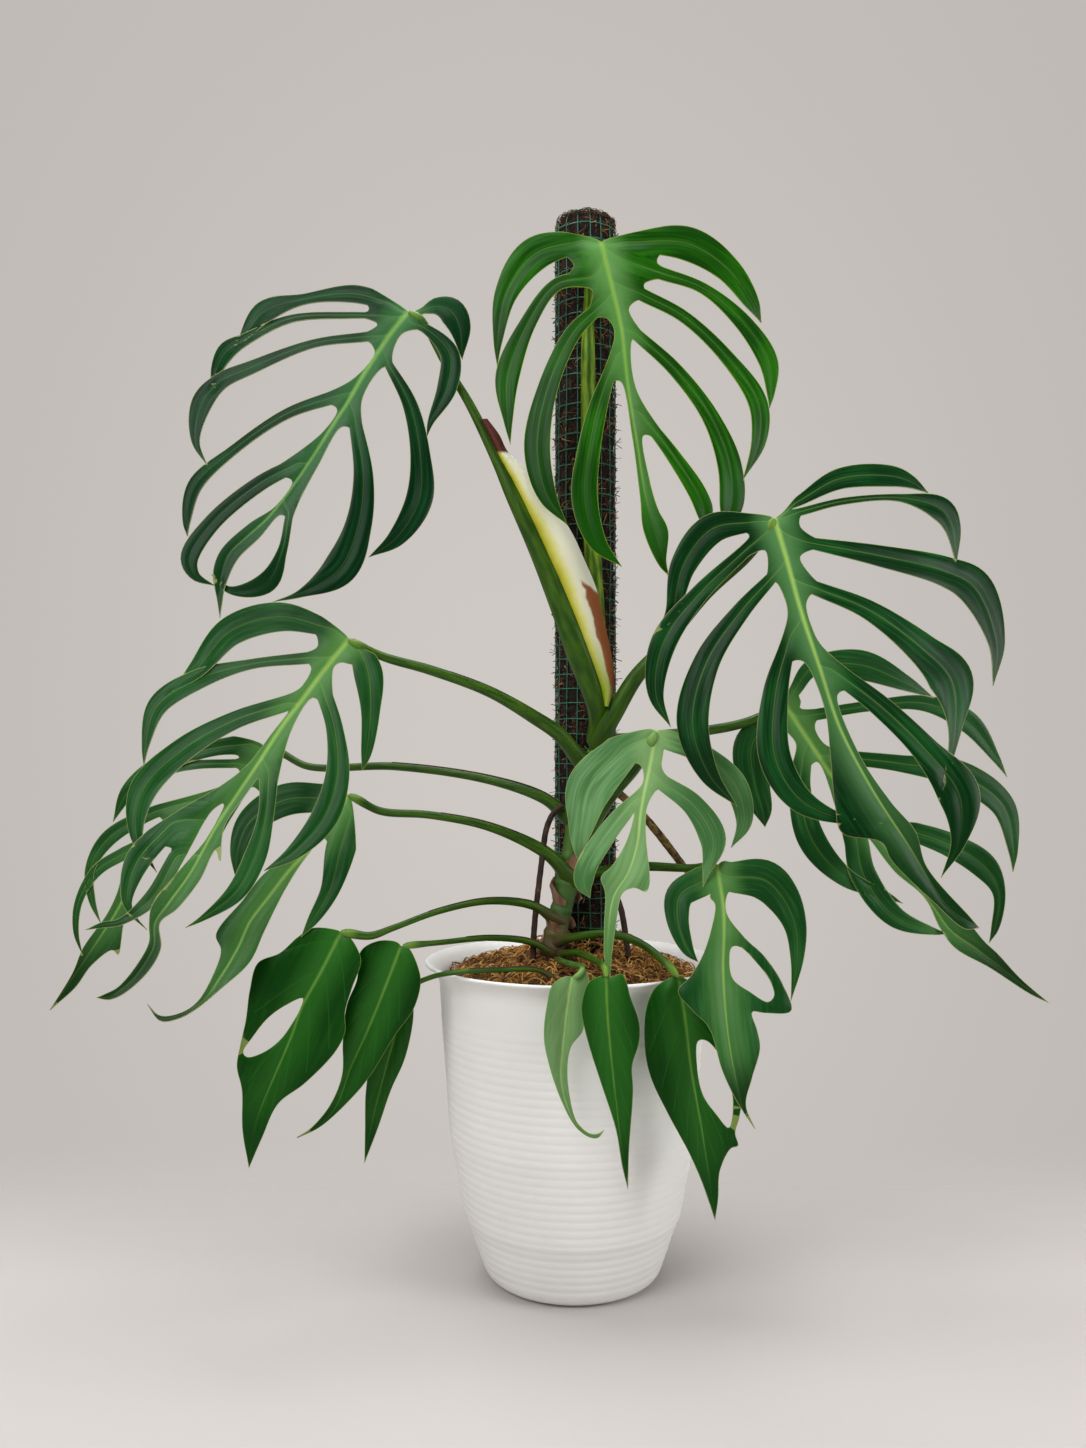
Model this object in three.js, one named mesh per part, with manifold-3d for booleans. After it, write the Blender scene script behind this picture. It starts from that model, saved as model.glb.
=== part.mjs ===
// A potted monstera with deeply cut leaves, climbing a netted moss pole in a tall ribbed pot.
// Units are millimetres. X is right, Y is away from the viewer, Z is up, and the pot stands on Z = 0.
// Plant outlines are noted as [u, v] steps across and down from the front, and set at a real depth.
import * as THREE from "three";
import { mergeVertices } from "three/addons/utils/BufferGeometryUtils.js";
import Module from "manifold-3d";

const wasm = await Module();
wasm.setup();

// Main sizes
const RIM_RADIUS = 142;
const POT_HEIGHT = 300;
const POLE_RADIUS = 30;
const POLE_TOP = 1028;
const POLE_X = 13.5;
const POLE_Y = 25;
const BLADE = 0.9;
const GAP = 0.35;

// The eye that the [u, v] steps are noted from
const EYE = { x: -28.55, z: 489, away: 1113, reach: 1150, u: 543, v: 765 };

function seen(u, v, y) {
  const scale = (EYE.away + y) / EYE.reach;
  return new THREE.Vector3(EYE.x + (u - EYE.u) * scale, y, EYE.z + (EYE.v - v) * scale);
}

// Shared solid tools
function solidFrom(points, triangles) {
  const flat = [];
  points.forEach((p) => flat.push(p.x, p.y, p.z));
  return new wasm.Manifold(
    new wasm.Mesh({
      numProp: 3,
      vertProperties: new Float32Array(flat),
      triVerts: new Uint32Array(triangles.flat()),
    }),
  );
}

function solidFromGeometry(geometry) {
  const bare = new THREE.BufferGeometry();
  bare.setAttribute("position", geometry.getAttribute("position"));
  bare.setIndex(geometry.index);
  const merged = mergeVertices(bare, 1e-3);
  return new wasm.Manifold(
    new wasm.Mesh({
      numProp: 3,
      vertProperties: merged.attributes.position.array,
      triVerts: new Uint32Array(merged.index.array),
    }),
  );
}

function biggestBody(solid) {
  const bodies = solid.decompose();
  bodies.sort((a, b) => b.volume() - a.volume());
  return bodies[0];
}

// A tapering round rod along points, each { at, r }, grown on all sides by extra.
function rod(stations, sides, extra = 0) {
  const points = [];
  const triangles = [];
  const count = stations.length;
  let across = null;
  stations.forEach((station, i) => {
    const before = stations[Math.max(0, i - 1)].at;
    const after = stations[Math.min(count - 1, i + 1)].at;
    const along = after.clone().sub(before).normalize();
    if (!across) {
      const helper = Math.abs(along.z) > 0.8 ? new THREE.Vector3(1, 0, 0) : new THREE.Vector3(0, 0, 1);
      across = helper.clone().cross(along).normalize();
    }
    across = across.clone().addScaledVector(along, -across.dot(along)).normalize();
    const up = along.clone().cross(across);
    const end = i === 0 ? -extra : i === count - 1 ? extra : 0;
    for (let k = 0; k < sides; k += 1) {
      const turn = (2 * Math.PI * k) / sides;
      const point = station.at.clone().addScaledVector(along, end);
      point.addScaledVector(across, (station.r + extra) * Math.cos(turn));
      point.addScaledVector(up, (station.r + extra) * Math.sin(turn));
      points.push(point);
    }
  });
  for (let i = 0; i + 1 < count; i += 1) {
    for (let k = 0; k < sides; k += 1) {
      const a = i * sides + k;
      const b = i * sides + ((k + 1) % sides);
      triangles.push([a, b, b + sides], [a, b + sides, a + sides]);
    }
  }
  const last = (count - 1) * sides;
  for (let k = 1; k + 1 < sides; k += 1) {
    triangles.push([0, k + 1, k], [last, last + k, last + k + 1]);
  }
  return solidFrom(points, triangles);
}

// Pot: a tall tapered planter with ribs below a plain band, and a slim flared lip
const POT_PROFILE = [
  [72, 0], [80, 3], [84.5, 8], [92.8, 32], [98, 49], [104, 63], [111, 100],
  [118, 140], [122, 197], [126.4, 255], [128.5, 285],
];
const POT_WALL = 4;
const POT_SEGMENTS = 24;
const RIB = { first: 12, last: 254, count: 15, depth: 0.7 };
const FLOOR_TOP = 6;
const LIP = [
  [132, 292], [137, 296.5], [RIM_RADIUS, POT_HEIGHT], [140.6, 302], [134.6, 299.2], [129, 293.5], [125.4, 287],
];

function profileRadius(z) {
  for (let i = 0; i + 1 < POT_PROFILE.length; i += 1) {
    const [r0, z0] = POT_PROFILE[i];
    const [r1, z1] = POT_PROFILE[i + 1];
    if (z <= z1) {
      return r0 + ((r1 - r0) * (z - z0)) / (z1 - z0);
    }
  }
  return POT_PROFILE[POT_PROFILE.length - 1][0];
}

function innerWall(extra) {
  const heights = [260, 197, 140, 100, 63, 32];
  const wall = heights.map((z) => [profileRadius(z) - POT_WALL - extra, z]);
  return [...wall, [profileRadius(FLOOR_TOP) - POT_WALL - extra, FLOOR_TOP + extra]];
}

function lathe(profile) {
  const points = profile.map(([r, z]) => new THREE.Vector2(r, z));
  const geometry = new THREE.LatheGeometry(points, POT_SEGMENTS);
  geometry.rotateX(Math.PI / 2);
  geometry.rotateZ(Math.PI / 2);
  return geometry;
}

function solidLathe(profile) {
  const solid = solidFromGeometry(lathe(profile));
  return solid.volume() > 0 ? solid : solidFromGeometry(lathe([...profile].reverse()));
}

function pot() {
  const outer = [[0, 0], [72, 0], [80, 3], [84.5, 8]];
  const pitch = (RIB.last - RIB.first) / RIB.count;
  for (let i = 0; i < RIB.count; i += 1) {
    const z = RIB.first + i * pitch;
    outer.push([profileRadius(z), z]);
    outer.push([profileRadius(z + pitch / 2) + RIB.depth, z + pitch / 2]);
  }
  outer.push([profileRadius(RIB.last), RIB.last]);
  outer.push([128.5, 285]);
  return solidLathe([...outer, ...LIP, ...innerWall(0), [0, FLOOR_TOP]]);
}

// Potting mix: fills the pot and mounds a little round the pole
const MIX_TOP = [[0, 302], [45, 301], [80, 296], [105, 290], [123.5, 285]];

function mixFill() {
  const top = [...MIX_TOP].reverse();
  const wall = innerWall(GAP).reverse();
  return solidLathe([[0, FLOOR_TOP + GAP], ...wall, ...top]);
}

// Climbing pole: a ten-sided core in a raised net
const POLE_SIDES = 10;
const NET = { bottom: 262, rings: 19, wire: 1.5, ringHeight: 2.2, wireWidth: 2.4 };

function poleFill() {
  const core = POLE_RADIUS - NET.wire - GAP;
  const stations = [22, POLE_TOP - 3].map((z) => ({ at: new THREE.Vector3(POLE_X, POLE_Y, z), r: core }));
  return rod(stations, POLE_SIDES);
}

function poleNet() {
  const points = [];
  const triangles = [];
  const step = (2 * Math.PI) / POLE_SIDES;
  const half = NET.wireWidth / 2 / POLE_RADIUS;
  const pitch = (POLE_TOP - NET.bottom - NET.ringHeight) / (NET.rings - 1);
  const levels = [];
  for (let j = 0; j < NET.rings; j += 1) {
    levels.push(NET.bottom + j * pitch, NET.bottom + j * pitch + NET.ringHeight);
  }
  const columns = POLE_SIDES * 2;
  levels.forEach((z) => {
    for (let c = 0; c < columns; c += 1) {
      const turn = Math.floor(c / 2) * step - Math.PI / 2 + (c % 2 === 0 ? -half : half);
      [POLE_RADIUS, POLE_RADIUS - NET.wire].forEach((r) => {
        points.push(new THREE.Vector3(POLE_X + r * Math.cos(turn), POLE_Y + r * Math.sin(turn), z));
      });
    }
  });
  const at = (row, column, side) => (row * columns + (column % columns)) * 2 + side;
  const quad = (a, b, c, d) => triangles.push([a, b, c], [a, c, d]);
  const filled = (row, column) => {
    const inside = row >= 0 && row + 1 < levels.length;
    return inside && (row % 2 === 0 || column % 2 === 0);
  };
  for (let row = 0; row + 1 < levels.length; row += 1) {
    for (let c = 0; c < columns; c += 1) {
      if (!filled(row, c)) continue;
      quad(at(row, c, 0), at(row, c + 1, 0), at(row + 1, c + 1, 0), at(row + 1, c, 0));
      quad(at(row, c, 1), at(row + 1, c, 1), at(row + 1, c + 1, 1), at(row, c + 1, 1));
      if (!filled(row - 1, c)) quad(at(row, c, 1), at(row, c + 1, 1), at(row, c + 1, 0), at(row, c, 0));
      if (!filled(row + 1, c)) {
        quad(at(row + 1, c, 0), at(row + 1, c + 1, 0), at(row + 1, c + 1, 1), at(row + 1, c, 1));
      }
      if (!filled(row, c + columns - 1)) {
        quad(at(row, c, 0), at(row + 1, c, 0), at(row + 1, c, 1), at(row, c, 1));
      }
      if (!filled(row, c + 1)) {
        quad(at(row, c + 1, 0), at(row, c + 1, 1), at(row + 1, c + 1, 1), at(row + 1, c + 1, 0));
      }
    }
  }
  return solidFrom(points, triangles);
}

// Stem, petioles and roots, noted as [u, v, depth, half-width in steps]
const STEM = [
  [600, 744, -19.5, 9], [590, 770, -20, 9.5], [582, 800, -20, 9], [575, 830, -21, 9.5], [570, 860, -22, 9],
  [566, 890, -23, 11], [560, 915, -24, 10], [556, 935, -25, 11.5], [553, 960, -26, 12], [553, 1000, -26, 10],
];
const ROOTS = {
  root_left: [
    [562, 806, -30, 3], [553, 814, -36, 3], [546.4, 829, -38, 3], [542.4, 856, -38, 3],
    [537, 901, -38, 3], [533.6, 938, -38, 3], [533, 985, -40, 3],
  ],
  root_right: [[600, 872, -13, 3], [618, 900, -14, 3], [627, 945, -20, 3], [632, 1000, -26, 3]],
  root_slanting: [
    [590, 760, -26, 4], [598, 768, -34, 4], [616, 790, -36, 4], [645, 817.7, -40, 4],
    [683.5, 866.6, -46, 3.5], [690, 876, -47, 2],
  ],
};

function stationsOf(list) {
  return list.map(([u, v, y, h]) => ({
    at: seen(u, v, y),
    r: (h * (EYE.away + y)) / EYE.reach,
  }));
}

// Leaves. y is the depth of the joint, leanU and leanV its change per step, droop bends the fingers back.
// Each side lists web edge points [u, v] and fingers { cut: [u, v, half-width] } from the joint to the tip.
const cut = (...stations) => ({ stations });

const LEAVES = {
  leaf_upper_left: {
    y: -42, leanU: 0, leanV: -0.2, droop: 0.0012, sides: 8,
    petiole: [
      [600, 742, -21, 9], [600, 722, -26, 9.5], [600, 699, -33, 10], [584, 655, -37, 10], [564, 605, -38, 9.5],
      [540, 552, -39, 9], [512, 492, -40, 8], [498, 462, -40, 6], [470, 405, -41, 4.5], [446, 365, -42, 3.6],
      [421, 320, -41, 3.6], [409, 312, -41, 3],
    ],
    midrib: [
      [407.9, 312], [391, 333], [363, 376], [347.3, 403], [331.6, 427.6], [302.4, 472.5], [286.7, 495],
      [268.7, 517.4], [246.3, 537.6], [230, 553], [224, 566], [220, 590], [219.8, 618],
    ],
    left: [
      [405, 309],
      cut([385, 301.5, 8], [354, 294, 9], [304.6, 299.2, 5.5], [264.3, 312, 11], [241.8, 339, 3.5], [234, 347, 0]),
      [369.1, 310.2],
      cut([381, 315.8, 3], [349.5, 315.4, 3.3], [291.2, 318.8, 4], [246.3, 339, 6], [226, 352, 9],
        [213.8, 380.5, 3], [214.9, 390, 0]),
      [377.6, 324.4],
      cut([367.5, 336.7, 5], [313.6, 343.7, 4.3], [250.8, 367.7, 6.8], [220.5, 381.6, 8.5], [202.1, 402.9, 10.5],
        [195.6, 441, 4.3], [207.7, 466.4, 0]),
      [374.7, 352.4], [354, 378.2],
      cut([340.6, 395, 7], [286.7, 414, 5.3], [232.8, 450.7, 5], [195.1, 485.5, 7.5], [186.6, 521.9, 3.9],
        [187.5, 536.4, 0]),
      [337.2, 409.6], [322.6, 432.1],
      cut([297, 464, 7], [259.8, 483.7, 7.8], [212.6, 522.5, 8.5], [189.5, 558.2, 9], [195.1, 575.7, 5],
        [214.9, 585.8, 0]),
      [292.3, 481.5], [275.5, 506.1], [248.5, 524.1], [220.5, 550.6], [213, 573], [217, 600],
    ],
    right: [
      [412, 312],
      cut([423.6, 310.5, 3.5], [437, 306.4, 9], [450.5, 310.9, 13.5], [459.5, 326.6, 11.5], [462.2, 359.8, 0]),
      [419, 316],
      cut([411.2, 323.2, 4], [425.8, 328.9, 5], [449.4, 353.5, 9.5], [447.2, 387.2, 10], [430.3, 423.1, 3],
        [427, 437, 0]),
      [402.3, 333.8], [393.5, 350],
      cut([388.8, 364.8, 4.5], [410.1, 405.2, 7.5], [420.2, 454.5, 10], [419.1, 499.4, 13.5], [396.7, 537.6, 9],
        [368.6, 557.3, 0]),
      [375.3, 374.9], [361.9, 400.7],
      cut([354, 415, 6], [363.4, 477, 10], [358.1, 526.3, 13.5], [339.4, 569, 17], [300.2, 593.7, 4], [272.8, 602, 0]),
      [341.2, 427.2], [318.1, 465.8], [300.2, 499.4],
      cut([288.9, 517.4, 4], [282.2, 551, 5], [266.5, 582.5, 10.5], [230.6, 590.3, 4], [210.8, 573.9, 0]),
      [280, 515.1], [259.8, 537.6], [237.3, 560], [225, 588], [222.1, 604],
    ],
  },
  leaf_top: {
    y: -50, leanU: 0, leanV: -0.12, droop: 0.0012, sides: 8,
    petiole: [
      [602, 690, -24, 8], [598, 640, -18, 8.5], [592.9, 559, -17, 8.5], [590, 480, -16, 8], [588, 357, -18, 7],
      [589, 300, -24, 5], [592, 262, -36, 4.2], [600, 243, -47, 3.4],
    ],
    midrib: [
      [601.2, 243], [610.7, 281.4], [621.4, 328.8], [627.3, 381], [636.8, 440.3], [646.3, 499.6], [659.3, 547],
      [668.8, 575.5],
    ],
    left: [
      [598, 240],
      cut([579.9, 241.1, 10], [534.8, 254.1, 17], [506.3, 293.3, 11.5], [498, 340.7, 4.5], [497.3, 366.8, 0]),
      [573.9, 266],
      cut([589.3, 277.8, 8], [556.1, 285, 6.5], [528.9, 321.7, 8], [507.5, 376.3, 12], [508.2, 421.3, 4.5],
        [510.4, 444.6, 0]),
      [592, 290],
      cut([598.8, 307.5, 6], [572.7, 333.6, 8], [547.8, 388.1, 10], [537.2, 447.4, 13], [547.1, 494.8, 9.5],
        [567.5, 525.2, 0]),
      [606, 318], [613, 326.5], [614.2, 338.3],
      cut([615.5, 357, 4.5], [598.8, 404.7, 9], [588.6, 452.2, 11.5], [584.6, 499.6, 13], [597.6, 542.3, 9],
        [621.8, 566.7, 0]),
      [620.7, 381.5], [632, 435.5], [640.3, 499.6], [643.4, 530.4], [659.3, 566],
    ],
    right: [
      [605, 240],
      cut([627.3, 242.3, 9], [686.6, 243.5, 17], [726.9, 268.4, 13], [751.8, 302.7, 7.5], [761.3, 322.9, 0]),
      [657, 262.4],
      cut([660.5, 273.1, 6.5], [703.2, 288.5, 5.5], [743.5, 322.9, 8.5], [768.4, 362, 9.5], [770.8, 392.9, 4],
        [769.6, 408.3, 0]),
      [644.4, 283.8],
      cut([641.5, 294.4, 6.5], [684.2, 317, 6], [726.9, 357.3, 7], [757.7, 402.4, 9.5], [758.9, 440.3, 7.5],
        [743, 480.1, 0]),
      [629, 308.7],
      cut([636.8, 334.8, 6], [674.7, 369.2, 7], [710.3, 416.6, 8.5], [729.7, 466.4, 12], [730.5, 509.1, 11],
        [719.8, 530.4, 0]),
      [630.8, 352.6], [636.8, 390.5],
      cut([641, 414, 5], [672.3, 454.5, 7], [698.4, 494.8, 9], [705.1, 513.8, 8], [704.4, 535.1, 0]),
      [643.4, 435.5], [649.8, 480.6], [658.1, 509.1], [668.1, 530], [666.4, 561.2],
    ],
  },
  leaf_right: {
    y: -100, leanU: 0, leanV: -0.2, droop: 0.0012, sides: 8,
    petiole: [
      [600, 745, -22, 8], [604, 731, -32, 9], [615, 712, -38, 9], [635, 678.5, -44, 8], [662, 648, -52, 6.5],
      [706, 595, -68, 5.5], [748, 556, -86, 5.2], [768, 530, -97, 4.8], [774, 519, -99, 4],
    ],
    midrib: [
      [774.4, 518.9], [785.6, 555.7], [801.6, 613.4], [820.8, 671.1], [840.1, 728.8], [872.1, 789.6],
      [907.4, 844.1], [949, 908.2], [979.4, 928.1],
    ],
    left: [
      [769, 516],
      cut([753.6, 522.1, 8.8], [712, 529, 15], [683.5, 565, 13], [671, 613.4, 6], [655.8, 633.3, 0]),
      [749.4, 535.9],
      cut([743.9, 551.9, 6.5], [699.1, 594.2, 9], [663.8, 642.2, 13], [655.8, 693.5, 8], [670.9, 727.5, 0]),
      [765, 550.5],
      cut([771.2, 578.2, 6], [740.7, 611.8, 9], [707.1, 661.5, 13], [692.7, 722.4, 16], [708.7, 773.6, 10],
        [737.5, 806.6, 0]),
      [783, 594.2], [787.5, 615],
      cut([789, 640, 7], [775.5, 693.5, 12.8], [775, 757.6, 16], [801.6, 800.9, 12.5], [852.9, 821.7, 3],
        [884, 823.3, 0]),
      [803.2, 661.5], [824, 706.3], [830.5, 757.6], [835.3, 808.9], [841.7, 832.9], [881.7, 842.5], [891.3, 860.1],
      [933, 901.8], [965, 929],
    ],
    right: [
      [782, 513],
      cut([798.4, 501.3, 5], [840.1, 478.8, 10.5], [891.3, 476.3, 10.5], [910.6, 482, 6.5], [928.2, 492.9, 0]),
      [791, 509.5],
      cut([800, 512, 4], [843.3, 501.3, 3.5], [901, 498, 4], [941, 509.3, 12], [952.2, 526.9, 8.5], [956.4, 564.4, 0]),
      [800, 526.3],
      cut([814.4, 543.9, 6], [878.5, 555.7, 10.5], [945.8, 571.8, 15], [974.6, 587.8, 18], [996.4, 642.2, 8.5],
        [993.2, 686.1, 0]),
      [800, 557.3],
      cut([814.4, 587.8, 7], [868.9, 610.2, 9.8], [923.4, 650, 16], [951, 680, 22], [955, 728, 7],
        [941, 798.6, 0]),
      [806.4, 603.8], [813, 630], [822, 646],
      cut([833.7, 671.1, 9], [878.5, 704.7, 10.8], [925, 749.6, 13.5], [959, 795, 21], [958.6, 840.9, 8],
        [941, 877.7, 0]),
      [837.5, 695.1], [859.3, 754.4], [891.3, 802.5], [915.4, 831.3], [926.6, 866.5], [970, 917],
    ],
  },
  leaf_left_middle: {
    y: -68, leanU: 0, leanV: -0.28, droop: 0.001, sides: 8,
    petiole: [
      [592, 768, -22, 7], [579.6, 758.5, -31, 8], [560, 735, -38, 7.5], [535, 717.7, -43, 7], [490, 692, -50, 5.6],
      [430, 670, -58, 5], [384, 657, -64, 4.4], [356, 644, -68, 3.6], [349, 640, -68, 3],
    ],
    midrib: [
      [349.2, 639.6], [328.6, 664.4], [307.9, 692], [282.7, 726], [257.1, 765.1], [236.4, 795.5], [216.9, 826],
      [190.1, 873.5], [169, 903], [155.3, 922.7], [154.5, 944.6], [148.3, 958.5], [131.5, 981], [110, 996.5],
      [96.2, 997.7],
    ],
    left: [
      [345, 634],
      cut([330, 628.6, 8], [280.4, 617, 14.5], [230.7, 631.3, 14.7], [197.7, 668.5, 9], [170.9, 694.2, 0]),
      [317.6, 646.5],
      cut([307.9, 658, 6], [250, 664.4, 5.2], [197.7, 679.6, 10], [157.7, 705.7, 10], [145.3, 747, 3.5],
        [143.9, 766.4, 0]),
      [311.2, 668.5], [300, 688],
      cut([285.9, 703.5, 8], [233.5, 720.9, 9], [181.1, 751.2, 12], [142.6, 791.2, 13.5], [137, 838, 6],
        [156.9, 872.5, 0]),
      [272, 733], [247, 765], [222, 785], [181, 809],
      cut([168, 827, 11], [137, 862, 12.5], [127, 900, 5.5], [132, 914, 2.5], [147, 930, 0]),
      [172, 849],
      cut([176, 858, 8], [152, 898, 8], [120, 922, 3.5], [103, 925, 3], [85.5, 930, 0]),
      [192, 845], [212, 811], [224, 803.5], [206, 839], [178, 872], [152, 905], [149, 925], [149, 942], [136, 966],
      [118, 987], [106, 993.5],
    ],
    right: [
      [352, 643],
      cut([357, 645, 9], [368, 672, 14.5], [370.5, 712, 9.5], [366, 755, 5], [362, 771, 0]),
      [348, 664], [341, 662.5], [334, 667],
      cut([323, 690, 8], [334.5, 728, 8.5], [337.5, 775, 12], [324, 818, 13.5], [293, 853, 7.5], [264, 871, 0]),
      [312, 698], [292, 729],
      cut([269, 775, 9.5], [266, 815, 8], [255, 857, 11], [236, 892, 9.5], [203, 918, 3], [185, 928, 0]),
      [259, 778], [245, 796], [224, 828], [220, 862], [215.5, 850], [200, 880], [177, 909], [160, 923], [161, 948],
      [148, 972], [122, 995], [108, 1000],
    ],
  },
  leaf_left_behind: {
    y: 20, leanU: 0, leanV: -0.1, droop: 0.0008, sides: 6,
    petiole: [
      [580, 822, -20, 6], [566.5, 816, -22, 6.5], [545.6, 799, -20, 6], [490, 780, -12, 4.6], [395, 766.4, 4, 4],
      [308, 766.4, 14, 3.6], [280, 752.6, 19, 3.4], [268, 752, 20, 3],
    ],
    midrib: [
      [268, 752], [252, 771], [233, 788], [212, 800], [190, 815], [168, 832], [150, 849], [137, 868], [128, 889],
      [117, 911], [105, 930], [93, 948], [75, 975], [50, 1010],
    ],
    left: [
      [262, 744],
      cut([250, 744, 11], [215, 748, 8], [160, 765, 9], [128, 792, 7.5], [113, 822, 0]),
      [240, 757],
      cut([236, 763.5, 4.5], [195, 765, 4.5], [165, 772, 5], [140, 800, 4], [133, 830, 0]),
      [240, 772], [228, 783],
      cut([196, 800, 6], [150, 814, 6.5], [108, 839, 8], [90, 870, 5], [92, 900, 3.5], [101, 924, 0]),
      [164, 824], [145, 836],
      cut([125, 853, 6.5], [101, 867, 6], [88, 882, 5], [79, 901, 4], [76, 916, 3.5], [76.5, 935, 2.5], [83, 956, 0]),
      [122, 875], [117, 893], [107, 914], [83, 948], [73, 972],
    ],
    right: [
      [268, 762],
      cut([265, 776, 6], [266, 815, 6], [256, 852, 6], [243, 880, 4], [232, 897, 0]),
      [252, 787],
      cut([236, 802, 4.5], [222, 826, 4], [208, 852, 5], [190, 880, 5], [172, 903, 0]),
      [224, 799], [212, 807], [196, 819], [176, 835], [158, 851], [145, 868], [134, 890], [130, 905], [124, 922],
      [118, 955], [113, 950], [92, 965], [75, 988],
    ],
  },
  leaf_left_inner: {
    y: -56, leanU: 0, leanV: -0.38, droop: 0.001, sides: 6,
    petiole: [
      [575, 880, -24, 7], [565, 870.6, -30, 7], [545, 852, -36, 6.5], [490, 827, -44, 4.6], [430, 815, -50, 4],
      [380, 811, -55, 4], [357.5, 799.4, -56, 3.6], [349, 795, -56, 3],
    ],
    midrib: [
      [348.3, 795], [330, 822], [308, 850], [288, 872], [268, 898], [250, 922], [238, 948], [222, 975],
      [203, 1001], [180, 1015], [160, 1018.5], [147, 1004],
    ],
    left: [
      [343, 791],
      cut([326, 798, 14], [285, 800, 16], [250, 822, 13], [238, 850, 8], [236, 880, 0]),
      [331, 808], [322, 822], [296, 852], [265, 873], [243, 900], [216, 935], [221, 950], [213, 975], [197, 1002],
      [180, 1013], [160, 1015.5],
    ],
    right: [
      [351, 798],
      cut([351, 815, 12], [341, 848, 15], [330, 890, 9.5], [313, 920, 5.5], [301, 937, 0]),
      [322, 838], [306, 857], [285, 890], [265, 930], [250, 962], [222, 988], [195, 1010], [178, 1019], [160, 1021],
    ],
  },
  leaf_lower_left_outer: {
    y: -98, leanU: 0, leanV: -0.02, droop: 0.0012, sides: 6,
    petiole: [
      [562, 922, -26, 5], [553.7, 918, -31, 5], [534, 906, -40, 4.4], [490, 901, -58, 3.6], [440, 910.8, -76, 3.2],
      [393, 928, -90, 3.2], [370, 935.8, -95, 4], [347, 932.9, -97, 3.6], [341, 932, -97, 3],
    ],
    midrib: [
      [341, 932], [322, 970], [303, 1005], [292, 1035], [275, 1075], [262, 1105], [254, 1130], [249, 1168],
    ],
    left: [
      [337, 930], [313, 928], [298, 937], [280, 953], [258, 963], [250, 990], [246, 1020], [240, 1047],
      [237, 1066], [242, 1090], [242.5, 1130],
    ],
    window: [
      [303, 998], [286, 1005], [268, 1018], [252, 1038], [243, 1052], [247, 1057], [262, 1053], [279, 1041],
      [293, 1022], [300.5, 1008],
    ],
    right: [
      [348, 935], [359, 952], [361, 962], [352, 988], [345, 1012], [345, 1032], [335, 1052], [305, 1083],
      [278, 1104], [262, 1138],
    ],
  },
  leaf_lower_left_middle: {
    y: -84, leanU: 0, leanV: 0.02, droop: 0.0012, sides: 6,
    petiole: [
      [560, 960, -30, 3.6], [552, 954, -38, 3.8], [532.8, 942.7, -46, 3.4], [490, 938, -56, 3],
      [440, 942.5, -72, 2.8], [412, 945, -82, 3], [403, 946, -83, 2.6],
    ],
    midrib: [[401, 946], [388, 980], [370, 1025], [350, 1070], [337, 1105], [317, 1127.5], [297, 1138]],
    left: [
      [397, 942], [378, 941], [361, 951], [357, 980], [347, 1005], [343, 1040], [342, 1075], [330, 1105],
      [311, 1128],
    ],
    right: [[408, 947], [419, 970], [420.5, 985], [413, 1010], [395, 1035], [367, 1080], [345, 1105], [320, 1127]],
  },
  leaf_lower_left_inner: {
    y: -68, leanU: 0, leanV: 0.08, droop: 0.0012, sides: 6,
    petiole: [
      [553.7, 988, -84, 2.6], [552, 978, -88, 2.6], [536, 970, -94, 2.6], [500, 970, -99, 2.6], [460, 972, -102, 2.6],
      [435, 976, -92, 2.6], [412, 985, -70, 2.4], [408, 987, -67, 2.2],
    ],
    midrib: [[408, 987], [395, 1035], [384, 1075], [375, 1110], [367, 1145], [364.5, 1163]],
    left: [[404, 988], [388, 1015], [372, 1055], [366, 1090], [365, 1130]],
    right: [[411, 989], [413.5, 1015], [405, 1058], [391, 1090], [378, 1128]],
  },
  leaf_small_pale: {
    y: -150, leanU: 0, leanV: 0, droop: 0.002, sides: 6,
    petiole: [
      [555, 962, -28, 3.2], [559, 960, -50, 3.2], [564, 962, -80, 3.2], [573, 964.7, -116, 3.2], [583, 968, -146, 3], [580, 974, -153, 2.6],
      [573, 978, -152, 2.2],
    ],
    midrib: [
      [572, 977], [567.5, 1005], [563, 1045], [561, 1080], [569.8, 1113], [577, 1125.5], [590, 1135.7], [598, 1136],
      [604, 1130.5],
    ],
    left: [
      [567, 976], [553, 984], [547, 1005], [544, 1038], [551, 1072], [561, 1100], [572, 1122], [580, 1131.3],
      [590, 1137.5], [598, 1138],
    ],
    right: [
      [579, 972], [586, 971], [589, 982], [583, 1005], [583, 1030], [571, 1047], [567.5, 1075], [575, 1118],
      [581, 1127], [590, 1133.6], [597, 1134],
    ],
  },
  leaf_small_dark: {
    y: -168, leanU: 0, leanV: -0.02, droop: 0.002, sides: 6,
    petiole: [
      [558, 955, -28, 3.6], [563, 954, -42, 3.6], [571, 953, -62, 3.6], [580, 953.5, -90, 3.6], [596, 961, -134, 3.4],
      [604.5, 967, -160, 3], [606, 977, -168, 2.6],
    ],
    midrib: [[606, 976], [607.5, 1015], [611.5, 1060], [616, 1100], [622, 1150], [628, 1190]],
    left: [[601, 976], [589, 982], [582, 1003], [582, 1015], [589, 1045], [601, 1083], [616, 1130], [622, 1165]],
    right: [
      [611, 977], [622, 974], [627, 984], [630, 996], [639, 1022], [639, 1042], [632, 1066], [633, 1090],
      [629, 1150],
    ],
  },
  leaf_lower_right: {
    y: -128, leanU: 0.22, leanV: -0.06, droop: 0.0008, sides: 6,
    petiole: [
      [556, 943, -30, 4], [570, 938, -52, 4.2], [610, 934, -78, 4.2], [640, 943, -98, 4], [668, 965, -124, 3.6],
      [678, 977, -129, 3],
    ],
    midrib: [[678, 977], [685, 1020], [691, 1070], [700, 1120], [708, 1170], [715, 1220]],
    left: [
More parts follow.
